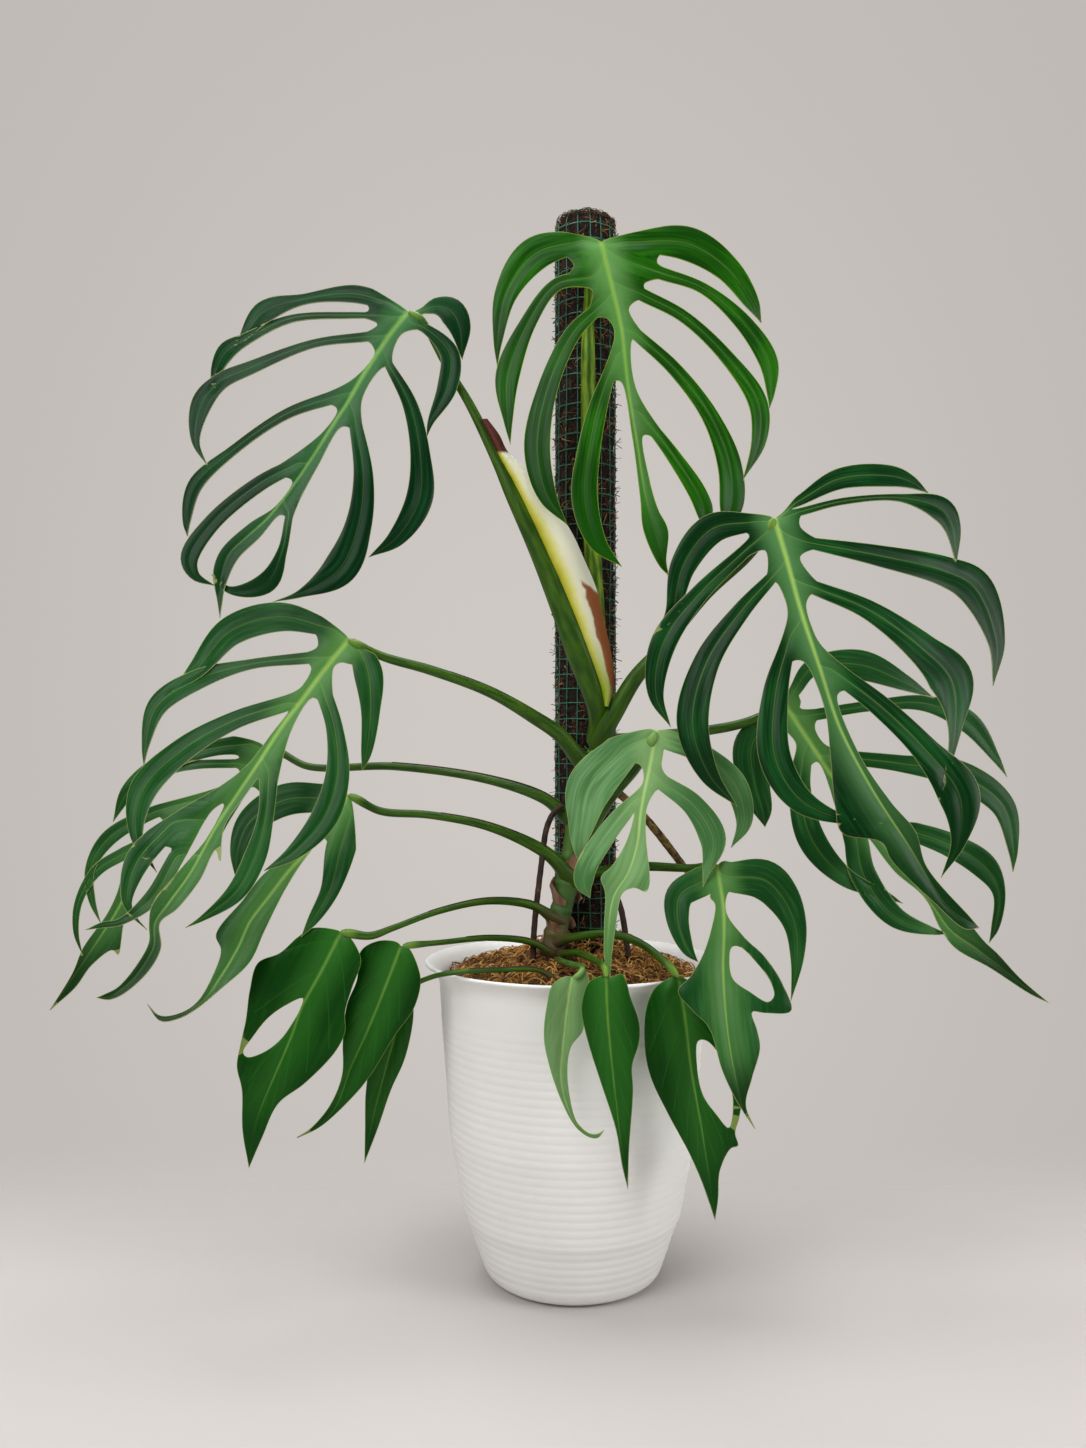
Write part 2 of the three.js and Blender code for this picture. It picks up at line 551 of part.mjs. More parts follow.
      [672, 977], [655, 988], [646, 1010], [645, 1050], [651, 1078], [667, 1112], [690, 1155], [703, 1185],
    ],
    right: [
      [684, 978], [697, 986], [712, 1002], [726, 1025], [736, 1060], [742, 1090], [739, 1118], [735, 1133],
      [738, 1146], [731, 1148], [720, 1170], [718, 1200],
    ],
    windowRight: [
      [698, 1041], [705, 1040], [716, 1050], [728, 1078], [733, 1102], [729, 1128], [716, 1114], [703, 1095],
      [697, 1066],
    ],
  },
  leaf_lower_right_upper: {
    y: -108, leanU: 0, leanV: -0.25, droop: 0.0008, sides: 6,
    petiole: [
      [575, 876, -22, 4.6], [596, 872, -32, 5], [640, 866.5, -62, 4.8], [690, 868, -92, 4], [714, 866, -107, 3.4],
      [718, 867, -108, 3],
    ],
    midrib: [
      [717, 866], [723, 905], [724, 930], [723, 970], [728, 1035], [737, 1085], [744, 1112], [755, 1129],
    ],
    left: [
      [711, 864],
      cut([703, 881, 15], [680, 895, 14], [677.5, 918, 11.5], [688, 950, 6], [698, 962, 0]),
      [710, 898], [715, 904], [711, 930], [702, 957], [690, 977], [678, 991], [692, 1010], [709, 1028], [722, 1070],
      [736, 1100],
    ],
    right: [
      [723, 861],
      cut([730, 877, 15], [764, 880, 20], [782, 897, 17.5], [795, 925, 11.5], [797, 960, 6.5], [791, 1001, 0]),
      [726, 900], [727, 914], [745, 938], [765, 957], [783, 985], [791, 1011], [765, 1013], [752, 1012], [757, 1030],
      [760, 1048], [752, 1078], [746, 1105],
    ],
    windowRight: [
      [732, 947], [740, 947], [755, 961], [770, 981], [774, 996], [768, 1002], [750, 992], [733, 979], [729.5, 960],
    ],
  },
  leaf_centre_pale: {
    y: -92, leanU: 0, leanV: -0.22, droop: 0.001, sides: 6,
    petiole: [
      [578, 850, -24, 6], [590, 832, -40, 5.5], [612, 796, -60, 5.5], [636, 768, -80, 5], [652, 740, -93, 4.2],
      [656, 732, -93, 3],
    ],
    midrib: [
      [656, 731], [649, 770], [641, 810], [637, 845], [628, 873], [614, 896], [608.5, 930], [608, 955], [610.5, 980],
    ],
    left: [
      [650, 729],
      cut([622, 751, 18], [590, 787, 23], [582, 822, 14], [579, 848, 6], [579, 862, 0]),
      [641, 766], [643, 782],
      cut([632, 803, 8], [606, 835, 10], [586, 868, 10.5], [584, 884, 9], [590, 898, 0]),
      [634, 813], [627, 840], [612, 866], [601, 877], [605, 893], [604, 930], [604.5, 960],
    ],
    right: [
      [661, 730],
      cut([668, 740, 10], [702, 754, 10], [735, 785, 12], [744, 822, 8], [731, 848, 0]),
      [663, 756], [662, 768],
      cut([663, 783, 8], [694, 806, 11], [713, 840, 13], [706, 873, 3.5], [703, 887, 0]),
      [655, 792], [647, 808], [646, 835], [649.5, 884], [646, 892], [635, 888], [623, 893], [616, 925], [611.5, 960],
    ],
  },
  leaf_right_behind: {
    y: 25, leanU: 0, leanV: -0.1, droop: 0.0006, sides: 6,
    petiole: [
      [595, 752, -20, 5], [603, 741, -24, 5], [625, 738, -16, 5], [660, 735, 2, 5], [710, 730, 14, 5],
      [744, 723, 20, 4.6], [780, 708, 25, 3.8], [786, 706, 25, 3],
    ],
    midrib: [
      [786, 706], [800, 727], [815, 750], [835, 780], [860, 812], [885, 845], [910, 878], [932, 905], [950, 930],
      [975, 948], [1000, 967], [1025, 987], [1049, 1003],
    ],
    left: [
      [782, 709],
      cut([773, 718, 10], [752, 745, 18], [755, 785, 15], [763, 812, 9], [765, 827, 0]),
      [786, 731], [796, 744],
      cut([803, 756, 9], [800, 790, 11], [812, 840, 14], [845, 877, 9.5], [888, 896, 3.5], [903, 903.5, 0]),
      [818, 762],
      cut([826, 795, 7], [852, 825, 11], [863, 874, 13], [895, 917, 10.5], [932, 931, 4], [948, 934, 0]),
      [868, 838], [895, 872], [925, 898], [940, 928], [955, 948], [990, 968], [1030, 994],
    ],
    right: [
      [787, 700],
      cut([794, 692, 6], [812, 668, 9], [860, 665, 15], [905, 683, 8], [934, 698, 0]),
      [801, 702], [800, 708],
      cut([808, 716, 6], [870, 706, 5.5], [925, 703.5, 8], [968, 722, 11], [995, 757, 4.5], [1007, 777, 0]),
      [815, 728], [826, 745],
      cut([840, 757, 7], [900, 763.5, 8.5], [960, 775, 14], [1003, 806, 12], [1013, 850, 5], [1013, 872, 0]),
      [846, 775], [884, 818],
      cut([902, 828, 9], [950, 845, 12], [985, 867, 13], [999, 893, 6.5], [995, 928, 4], [989, 943, 0]),
      [902, 848], [925, 876], [965, 918], [985, 942], [997, 953], [1020, 978],
    ],
  },
};

// The nearest distance in steps from a point to the midrib line
function fromMidrib(leaf, u, v) {
  let best = Infinity;
  for (let i = 0; i + 1 < leaf.midrib.length; i += 1) {
    const [u0, v0] = leaf.midrib[i];
    const [u1, v1] = leaf.midrib[i + 1];
    const long = (u1 - u0) ** 2 + (v1 - v0) ** 2;
    const along = Math.max(0, Math.min(1, ((u - u0) * (u1 - u0) + (v - v0) * (v1 - v0)) / long));
    best = Math.min(best, Math.hypot(u - u0 - along * (u1 - u0), v - v0 - along * (v1 - v0)));
  }
  return best;
}

const TROUGH = 0.12;
const TROUGH_REACH = 22;

function depthOf(leaf, u, v) {
  const [jointU, jointV] = leaf.midrib[0];
  const away = fromMidrib(leaf, u, v);
  const lean = leaf.leanU * (u - jointU) + leaf.leanV * (v - jointV);
  return leaf.y + lean + leaf.droop * away ** 2 - TROUGH * Math.min(away, TROUGH_REACH);
}

// A flat cut sheet before it is given thickness: points, which of them are ribs, and triangles.
function sheetOf(leaf) {
  const points = [];
  const triangles = [];
  const add = (u, v, rib) => points.push({ u, v, rib }) - 1;
  const midrib = leaf.midrib.map(([u, v]) => add(u, v, 2));

  function fingerEdges(stations) {
    return stations.map(([u, v, h], i) => {
      const before = stations[Math.max(0, i - 1)];
      const after = stations[Math.min(stations.length - 1, i + 1)];
      const run = Math.hypot(after[0] - before[0], after[1] - before[1]);
      const acrossU = (-(after[1] - before[1]) / run) * h;
      const acrossV = ((after[0] - before[0]) / run) * h;
      const middle = add(u, v, 1);
      if (h === 0) return { left: middle, middle, right: middle };
      return { left: add(u + acrossU, v + acrossV, 0), middle, right: add(u - acrossU, v - acrossV, 0) };
    });
  }

  function fingerStrip(edges) {
    for (let i = 0; i + 1 < edges.length; i += 1) {
      const near = edges[i];
      const far = edges[i + 1];
      triangles.push([near.left, near.middle, far.middle], [near.middle, near.right, far.middle]);
      if (far.left !== far.middle) {
        triangles.push([near.left, far.middle, far.left], [near.right, far.right, far.middle]);
      }
    }
  }

  function web(side, isLeft, holes) {
    const border = [];
    side.forEach((item) => {
      if (!item.stations) {
        border.push(add(item[0], item[1], 0));
        return;
      }
      const edges = fingerEdges(item.stations);
      fingerStrip(edges);
      const base = edges[0];
      border.push(...(isLeft ? [base.left, base.middle, base.right] : [base.right, base.middle, base.left]));
    });
    const loop = [...border, ...[...midrib].reverse()];
    const holeLoops = holes.map((hole) => hole.map(([u, v]) => add(u, v, 0)));
    const flat = (i) => new THREE.Vector2(points[i].u, points[i].v);
    const faces = THREE.ShapeUtils.triangulateShape(loop.map(flat), holeLoops.map((h) => h.map(flat)));
    const all = [...loop, ...holeLoops.flat()];
    const wanted = all.length - 2 + 2 * holeLoops.length;
    if (faces.length !== wanted) {
      throw new Error("web of " + leaf.name + " crosses itself: " + faces.length + " of " + wanted);
    }
    const area = ([a, b, c]) => {
      const [p, q, r] = [points[all[a]], points[all[b]], points[all[c]]];
      return (q.u - p.u) * (r.v - p.v) - (q.v - p.v) * (r.u - p.u);
    };
    const turned = faces.reduce((sum, face) => sum + area(face), 0) < 0;
    faces.forEach(([a, b, c]) => {
      triangles.push(turned ? [all[a], all[c], all[b]] : [all[a], all[b], all[c]]);
    });
  }

  web(leaf.left, true, leaf.window ? [leaf.window] : []);
  web(leaf.right, false, leaf.windowRight ? [leaf.windowRight] : []);
  return { points, triangles };
}

const MIDRIB_BACK = 2.4;
const MIDRIB_FRONT = 0.9;

// Gives a sheet thickness along its own surface direction, with ribs raised front and back.
function thicken(spots, triangles, ribs) {
  const normals = spots.map(() => new THREE.Vector3());
  triangles.forEach(([a, b, c]) => {
    const one = spots[c].clone().sub(spots[a]);
    const other = spots[b].clone().sub(spots[a]);
    const face = one.cross(other);
    [a, b, c].forEach((i) => normals[i].add(face));
  });
  const front = spots.map((spot, i) => {
    const out = normals[i].normalize();
    return spot.clone().addScaledVector(out, ribs[i] === 2 ? MIDRIB_FRONT : BLADE / 2);
  });
  const back = spots.map((spot, i) => {
    return spot.clone().addScaledVector(normals[i], ribs[i] === 2 ? -MIDRIB_BACK : -BLADE / 2);
  });
  const count = spots.length;
  const skin = [];
  const used = new Set();
  triangles.forEach(([a, b, c]) => {
    skin.push([a, c, b], [a + count, b + count, c + count]);
    [[a, b], [b, c], [c, a]].forEach(([p, q]) => used.add(p + "," + q));
  });
  triangles.forEach(([a, b, c]) => {
    [[a, b], [b, c], [c, a]].forEach(([p, q]) => {
      if (used.has(q + "," + p)) return;
      skin.push([p, q, q + count], [p, q + count, p + count]);
    });
  });
  return solidFrom([...front, ...back], skin);
}

function blade(leaf) {
  const { points, triangles } = sheetOf(leaf);
  const spots = points.map(({ u, v }) => seen(u, v, depthOf(leaf, u, v)));
  return thicken(spots, triangles, points.map(({ rib }) => rib));
}

// The winged sheath on the long upper petiole: inner line on the petiole, free line outside
const SHEATH = [
  [[600, 688], [614, 693]], [[591, 660], [613, 661]], [[581, 628], [606, 630]], [[569, 596], [597, 592]],
  [[555, 564], [584, 560]], [[540, 532], [570, 534]], [[527, 504], [556, 508]], [[515, 477], [540, 485]],
  [[504, 456], [523, 464]], [[493, 434], [511, 444]], [[484, 421], [488, 420]],
];
const SHEATH_DEPTH = { inner: -41, bulge: -48, outer: -36 };

function sheath() {
  const spots = [];
  const triangles = [];
  SHEATH.forEach(([[u0, v0], [u1, v1]]) => {
    spots.push(seen(u0, v0, SHEATH_DEPTH.inner));
    spots.push(seen((u0 + u1) / 2, (v0 + v1) / 2, SHEATH_DEPTH.bulge));
    spots.push(seen(u1, v1, SHEATH_DEPTH.outer));
  });
  for (let i = 0; i + 1 < SHEATH.length; i += 1) {
    for (let k = 0; k < 2; k += 1) {
      const a = i * 3 + k;
      triangles.push([a, a + 4, a + 1], [a, a + 3, a + 4]);
    }
  }
  return thicken(spots, triangles, spots.map(() => 0));
}

// Put the whole plant together, each piece cut clear of the ones before it
const plant = new THREE.Group();
plant.name = "potted_monstera";

const MATERIALS = {
  pot: ["white_plastic", 0xeeeeec, 0.6],
  potting_mix: ["coir_mix", 0x7a5230, 0.95],
  pole_fill: ["coir_core", 0x3b2a1e, 0.95],
  pole_net: ["green_net", 0x24503c, 0.5],
  stem: ["stem_green", 0x5d7a2c, 0.55],
  root: ["aerial_root", 0x33261a, 0.8],
  leaf: ["leaf_green", 0x1f4d2b, 0.45],
  pale: ["leaf_pale_green", 0x5d8a4c, 0.45],
};
const PALE = ["leaf_small_pale", "leaf_centre_pale"];
const made = {};

function material(key) {
  if (!made[key]) {
    const [name, color, roughness] = MATERIALS[key];
    made[key] = new THREE.MeshStandardMaterial({ color, roughness });
    made[key].name = name;
  }
  return made[key];
}

function show(name, solid, key) {
  const mesh = solid.getMesh();
  const stride = mesh.numProp;
  const positions = new Float32Array(mesh.numVert * 3);
  for (let i = 0; i < mesh.numVert; i += 1) {
    positions.set(mesh.vertProperties.subarray(i * stride, i * stride + 3), i * 3);
  }
  const geometry = new THREE.BufferGeometry();
  geometry.setAttribute("position", new THREE.BufferAttribute(positions, 3));
  geometry.setIndex(new THREE.BufferAttribute(new Uint32Array(mesh.triVerts), 1));
  geometry.computeVertexNormals();
  const piece = new THREE.Mesh(geometry, material(key));
  piece.name = name;
  plant.add(piece);
}

function cutAll(solid, cutters) {
  let result = solid;
  cutters.forEach((cutter) => {
    result = result.subtract(cutter);
  });
  return biggestBody(result);
}

const STEM_SIDES = 10;
const ROOT_SIDES = 6;
const stem = rod(stationsOf(STEM), STEM_SIDES);
const poleRoom = rod(
  [20, POLE_TOP + 2].map((z) => ({ at: new THREE.Vector3(POLE_X, POLE_Y, z), r: POLE_RADIUS })),
  POLE_SIDES * 2,
  GAP,
);
const keepClear = [rod(stationsOf(STEM), STEM_SIDES, GAP)];

show("pot", pot(), "pot");
show("pole_fill", poleFill(), "pole_fill");
show("pole_net", poleNet(), "pole_net");
show("stem", stem, "stem");

Object.entries(LEAVES).forEach(([name, leaf]) => {
  leaf.name = name;
  const stations = stationsOf(leaf.petiole);
  let body = rod(stations, leaf.sides);
  body = cutAll(body, [...keepClear, poleRoom]);
  body = body.add(blade(leaf));
  if (name === "leaf_upper_left") body = body.add(sheath());
  keepClear.push(rod(stations, leaf.sides, GAP));
  show(name, biggestBody(body), PALE.includes(name) ? "pale" : "leaf");
});

Object.entries(ROOTS).forEach(([name, list]) => {
  const body = cutAll(rod(stationsOf(list), ROOT_SIDES), [...keepClear, poleRoom]);
  keepClear.push(rod(stationsOf(list), ROOT_SIDES, GAP));
  show(name, body, "root");
});

show("potting_mix", cutAll(mixFill(), [...keepClear, poleRoom]), "potting_mix");

export default plant;
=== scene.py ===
"""A potted monstera with deeply cut leaves on a netted coir pole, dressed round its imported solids."""
import math

import bpy
import numpy as np
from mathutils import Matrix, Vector, noise
from mathutils.geometry import delaunay_2d_cdt


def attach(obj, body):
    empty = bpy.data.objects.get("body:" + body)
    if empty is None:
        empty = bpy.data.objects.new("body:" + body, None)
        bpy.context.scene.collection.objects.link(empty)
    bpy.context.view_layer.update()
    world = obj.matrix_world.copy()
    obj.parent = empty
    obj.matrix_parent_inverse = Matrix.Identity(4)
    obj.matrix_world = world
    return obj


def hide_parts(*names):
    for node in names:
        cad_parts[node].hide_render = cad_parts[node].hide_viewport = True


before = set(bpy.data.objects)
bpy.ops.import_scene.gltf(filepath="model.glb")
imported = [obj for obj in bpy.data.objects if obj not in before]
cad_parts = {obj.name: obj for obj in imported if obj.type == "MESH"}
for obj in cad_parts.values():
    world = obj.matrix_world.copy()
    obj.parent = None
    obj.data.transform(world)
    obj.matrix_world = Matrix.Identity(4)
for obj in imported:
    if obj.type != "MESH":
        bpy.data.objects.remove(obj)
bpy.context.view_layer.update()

bl_info = {
    "name": "Potted monstera on a coir pole",
    "version": (1, 0, 0),
    "blender": (4, 5, 0),
    "location": "3D View > Sidebar > Monstera",
    "description": "Builds a potted, pole-climbing monstera with cut leaves",
    "category": "Object",
}

MM = 0.001

# Driving sizes in millimetres, the same as the solids have
POLE_RADIUS = 30
POLE_TOP = 1028
POLE_X = 13.5
POLE_Y = 25

# The eye that the plant's [u, v] steps are noted from
EYE_X = -28.55
EYE_Z = 489
EYE_AWAY = 1113
EYE_REACH = 1150
EYE_U = 543
EYE_V = 765
PICTURE_HEIGHT = 1448


def cut(*stations):
    """One finger of a leaf: [u, v, half-width] from its root to its tip."""
    return {"finger": stations}


# Plant outlines: petiole and stem rows are [u, v, depth, half-width in steps]
LEAVES = {
    "leaf_upper_left": {
        "y": -42, "lean_u": 0, "lean_v": -0.2, "droop": 0.0012,
        "petiole": [
            [600, 742, -21, 9], [600, 722, -26, 10], [597, 699, -33, 12.5], [580, 655, -37, 13],
            [561, 605, -38, 11.5], [539, 552, -39, 9.5], [512, 492, -40, 8], [498, 462, -40, 6],
            [470, 405, -41, 4.5], [446, 365, -42, 3.6], [421, 320, -41, 3.6], [409, 312, -41, 3],
        ],
        "midrib": [
            [407.9, 312], [391, 333], [363, 376], [347.3, 403], [331.6, 427.6], [302.4, 472.5], [286.7, 495],
            [268.7, 517.4], [246.3, 537.6], [230, 553], [224, 566], [220, 590], [219.8, 618],
        ],
        "left": [
            [405, 309],
            cut([385, 301.5, 8], [354, 294, 9], [304.6, 299.2, 5.5], [264.3, 312, 11], [241.8, 339, 3.5],
                [234, 347, 0]),
            [369.1, 310.2],
            cut([381, 315.8, 3], [349.5, 315.4, 3.3], [291.2, 318.8, 4], [246.3, 339, 6], [226, 352, 9],
                [213.8, 380.5, 3], [214.9, 390, 0]),
            [377.6, 324.4],
            cut([367.5, 336.7, 5], [313.6, 343.7, 4.3], [250.8, 367.7, 6.8], [220.5, 381.6, 8.5],
                [202.1, 402.9, 10.5], [195.6, 441, 4.3], [207.7, 466.4, 0]),
            [374.7, 352.4], [354, 378.2],
            cut([340.6, 395, 7], [286.7, 414, 5.3], [232.8, 450.7, 5], [195.1, 485.5, 7.5],
                [186.6, 521.9, 3.9], [187.5, 536.4, 0]),
            [337.2, 409.6], [322.6, 432.1],
            cut([297, 464, 7], [259.8, 483.7, 7.8], [212.6, 522.5, 8.5], [189.5, 558.2, 9],
                [195.1, 575.7, 5], [214.9, 585.8, 0]),
            [292.3, 481.5], [275.5, 506.1], [248.5, 524.1], [220.5, 550.6], [213, 573], [217, 600],
        ],
        "right": [
            [412, 312],
            cut([423.6, 310.5, 3.5], [437, 306.4, 9], [450.5, 310.9, 13.5], [459.5, 326.6, 11.5],
                [462.2, 359.8, 0]),
            [419, 316],
            cut([411.2, 323.2, 4], [425.8, 328.9, 5], [449.4, 353.5, 9.5], [447.2, 387.2, 10],
                [430.3, 423.1, 3], [427, 437, 0]),
            [402.3, 333.8], [393.5, 350],
            cut([388.8, 364.8, 4.5], [410.1, 405.2, 7.5], [420.2, 454.5, 10], [419.1, 499.4, 13.5],
                [396.7, 537.6, 9], [368.6, 557.3, 0]),
            [375.3, 374.9], [361.9, 400.7],
            cut([354, 415, 6], [363.4, 477, 10], [358.1, 526.3, 13.5], [339.4, 569, 17], [300.2, 593.7, 4],
                [272.8, 602, 0]),
            [341.2, 427.2], [318.1, 465.8], [300.2, 499.4],
            cut([288.9, 517.4, 4], [282.2, 551, 5], [266.5, 582.5, 10.5], [230.6, 590.3, 4],
                [210.8, 573.9, 0]),
            [280, 515.1], [259.8, 537.6], [237.3, 560], [225, 588], [222.1, 604],
        ],
    },
    "leaf_top": {
        "y": -50, "lean_u": 0, "lean_v": -0.12, "droop": 0.0012,
        "petiole": [
            [602, 690, -24, 8], [598, 640, -18, 8.5], [592.9, 559, -17, 8.5], [590, 480, -16, 8],
            [588, 357, -18, 7], [589, 300, -24, 5], [592, 262, -36, 4.2], [600, 243, -47, 3.4],
        ],
        "midrib": [
            [601.2, 243], [610.7, 281.4], [621.4, 328.8], [627.3, 381], [636.8, 440.3], [646.3, 499.6],
            [659.3, 547], [668.8, 575.5],
        ],
        "left": [
            [598, 240],
            cut([579.9, 241.1, 10], [534.8, 254.1, 17], [506.3, 293.3, 11.5], [498, 340.7, 4.5],
                [497.3, 366.8, 0]),
            [573.9, 266],
            cut([589.3, 277.8, 8], [556.1, 285, 6.5], [528.9, 321.7, 8], [507.5, 376.3, 12],
                [508.2, 421.3, 4.5], [510.4, 444.6, 0]),
            [592, 290],
            cut([598.8, 307.5, 6], [572.7, 333.6, 8], [547.8, 388.1, 10], [537.2, 447.4, 13],
                [547.1, 494.8, 9.5], [567.5, 525.2, 0]),
            [606, 318], [613, 326.5], [614.2, 338.3],
            cut([615.5, 357, 4.5], [598.8, 404.7, 9], [588.6, 452.2, 11.5], [584.6, 499.6, 13],
                [597.6, 542.3, 9], [621.8, 566.7, 0]),
            [620.7, 381.5], [632, 435.5], [640.3, 499.6], [643.4, 530.4], [659.3, 566],
        ],
        "right": [
            [605, 240],
            cut([627.3, 242.3, 9], [686.6, 243.5, 17], [726.9, 268.4, 13], [751.8, 302.7, 7.5],
                [761.3, 322.9, 0]),
            [657, 262.4],
            cut([660.5, 273.1, 6.5], [703.2, 288.5, 5.5], [743.5, 322.9, 8.5], [768.4, 362, 9.5],
                [770.8, 392.9, 4], [769.6, 408.3, 0]),
            [644.4, 283.8],
            cut([641.5, 294.4, 6.5], [684.2, 317, 6], [726.9, 357.3, 7], [757.7, 402.4, 9.5],
                [758.9, 440.3, 7.5], [743, 480.1, 0]),
            [629, 308.7],
            cut([636.8, 334.8, 6], [674.7, 369.2, 7], [710.3, 416.6, 8.5], [729.7, 466.4, 12],
                [730.5, 509.1, 11], [719.8, 530.4, 0]),
            [630.8, 352.6], [636.8, 390.5],
            cut([641, 414, 5], [672.3, 454.5, 7], [698.4, 494.8, 9], [705.1, 513.8, 8], [704.4, 535.1, 0]),
            [643.4, 435.5], [649.8, 480.6], [658.1, 509.1], [668.1, 530], [666.4, 561.2],
        ],
    },
    "leaf_right": {
        "y": -100, "lean_u": 0, "lean_v": -0.2, "droop": 0.0012,
        "petiole": [
            [600, 745, -22, 8], [604, 731, -32, 9], [615, 712, -38, 9], [635, 678.5, -44, 8],
            [662, 648, -52, 6.5], [706, 595, -68, 5.5], [748, 556, -86, 5.2], [768, 530, -97, 4.8],
            [774, 519, -99, 4],
        ],
        "midrib": [
            [774.4, 518.9], [785.6, 555.7], [801.6, 613.4], [820.8, 671.1], [840.1, 728.8], [872.1, 789.6],
            [907.4, 844.1], [949, 908.2], [979.4, 928.1],
        ],
        "left": [
            [769, 516],
            cut([753.6, 522.1, 8.8], [712, 529, 15], [683.5, 565, 13], [671, 613.4, 6], [655.8, 633.3, 0]),
            [749.4, 535.9],
            cut([743.9, 551.9, 6.5], [699.1, 594.2, 9], [663.8, 642.2, 13], [655.8, 693.5, 8],
                [670.9, 727.5, 0]),
            [765, 550.5],
            cut([771.2, 578.2, 6], [740.7, 611.8, 9], [707.1, 661.5, 13], [692.7, 722.4, 16],
                [708.7, 773.6, 10], [737.5, 806.6, 0]),
            [783, 594.2], [787.5, 615],
            cut([789, 640, 7], [775.5, 693.5, 12.8], [775, 757.6, 16], [801.6, 800.9, 12.5],
                [852.9, 821.7, 3], [884, 823.3, 0]),
            [803.2, 661.5], [824, 706.3], [830.5, 757.6], [835.3, 808.9], [841.7, 832.9], [881.7, 842.5],
            [891.3, 860.1], [933, 901.8], [965, 929],
        ],
        "right": [
            [782, 513],
            cut([798.4, 501.3, 5], [840.1, 478.8, 10.5], [891.3, 476.3, 10.5], [910.6, 482, 6.5],
                [928.2, 492.9, 0]),
            [791, 509.5],
            cut([800, 512, 4], [843.3, 501.3, 3.5], [901, 498, 4], [941, 509.3, 12], [952.2, 526.9, 8.5],
                [956.4, 564.4, 0]),
            [800, 526.3],
            cut([814.4, 543.9, 6], [878.5, 555.7, 10.5], [945.8, 571.8, 15], [974.6, 587.8, 18],
                [996.4, 642.2, 8.5], [993.2, 686.1, 0]),
            [800, 557.3],
            cut([814.4, 587.8, 7], [868.9, 610.2, 9.8], [923.4, 650, 16], [951, 680, 22], [955, 728, 7],
                [941, 798.6, 0]),
            [806.4, 603.8], [813, 630], [822, 646],
            cut([833.7, 671.1, 9], [878.5, 704.7, 10.8], [925, 749.6, 13.5], [959, 795, 21],
                [958.6, 840.9, 8], [941, 877.7, 0]),
            [837.5, 695.1], [859.3, 754.4], [891.3, 802.5], [915.4, 831.3], [926.6, 866.5], [970, 917],
        ],
    },
    "leaf_left_middle": {
        "y": -68, "lean_u": 0, "lean_v": -0.28, "droop": 0.001,
        "petiole": [
            [592, 768, -22, 7], [579.6, 758.5, -31, 8], [560, 735, -38, 7.5], [535, 717.7, -43, 7],
            [490, 692, -50, 5.6], [430, 670, -58, 5], [384, 657, -64, 4.4], [356, 644, -68, 3.6],
            [349, 640, -68, 3],
        ],
        "midrib": [
            [349.2, 639.6], [328.6, 664.4], [307.9, 692], [282.7, 726], [257.1, 765.1], [236.4, 795.5],
            [216.9, 826], [190.1, 873.5], [169, 903], [155.3, 922.7], [154.5, 944.6], [148.3, 958.5],
            [131.5, 981], [110, 996.5], [96.2, 997.7],
        ],
        "left": [
            [345, 634],
            cut([330, 628.6, 8], [280.4, 617, 14.5], [230.7, 631.3, 14.7], [197.7, 668.5, 9],
                [170.9, 694.2, 0]),
            [317.6, 646.5],
            cut([307.9, 658, 6], [250, 664.4, 5.2], [197.7, 679.6, 10], [157.7, 705.7, 10],
                [145.3, 747, 3.5], [143.9, 766.4, 0]),
            [311.2, 668.5], [300, 688],
            cut([285.9, 703.5, 8], [233.5, 720.9, 9], [181.1, 751.2, 12], [142.6, 791.2, 13.5],
                [137, 838, 6], [156.9, 872.5, 0]),
            [272, 733], [247, 765], [222, 785], [181, 809],
            cut([168, 827, 11], [137, 862, 12.5], [127, 900, 5.5], [132, 914, 2.5], [147, 930, 0]),
            [172, 849],
            cut([176, 858, 8], [152, 898, 8], [120, 922, 3.5], [103, 925, 3], [85.5, 930, 0]),
            [192, 845], [212, 811], [224, 803.5], [206, 839], [178, 872], [152, 905], [149, 925], [149, 942],
            [136, 966], [118, 987], [106, 993.5],
        ],
        "right": [
            [352, 643],
            cut([357, 645, 9], [368, 672, 14.5], [370.5, 712, 9.5], [366, 755, 5], [362, 771, 0]),
            [348, 664], [341, 662.5], [334, 667],
            cut([323, 690, 8], [334.5, 728, 8.5], [337.5, 775, 12], [324, 818, 13.5], [293, 853, 7.5],
                [264, 871, 0]),
            [312, 698], [292, 729],
            cut([269, 775, 9.5], [266, 815, 8], [255, 857, 11], [236, 892, 9.5], [203, 918, 3],
                [185, 928, 0]),
            [259, 778], [245, 796], [224, 828], [220, 862], [215.5, 850], [200, 880], [177, 909], [160, 923],
            [161, 948], [148, 972], [122, 995], [108, 1000],
        ],
    },
    "leaf_left_behind": {
        "y": 20, "lean_u": 0, "lean_v": -0.1, "droop": 0.0008,
        "petiole": [
            [580, 822, -20, 6], [566.5, 816, -22, 6.5], [545.6, 799, -20, 6], [490, 780, -12, 4.6],
            [395, 766.4, 4, 4], [308, 766.4, 14, 3.6], [280, 752.6, 19, 3.4], [268, 752, 20, 3],
        ],
        "midrib": [
            [268, 752], [252, 771], [233, 788], [212, 800], [190, 815], [168, 832], [150, 849], [137, 868],
            [128, 889], [117, 911], [105, 930], [93, 948], [75, 975], [50, 1010],
        ],
        "left": [
            [262, 744],
            cut([250, 744, 11], [215, 748, 8], [160, 765, 9], [128, 792, 7.5], [113, 822, 0]),
            [240, 757],
            cut([236, 763.5, 4.5], [195, 765, 4.5], [165, 772, 5], [140, 800, 4], [133, 830, 0]),
            [240, 772], [228, 783],
            cut([196, 800, 6], [150, 814, 6.5], [108, 839, 8], [90, 870, 5], [92, 900, 3.5], [101, 924, 0]),
            [164, 824], [145, 836],
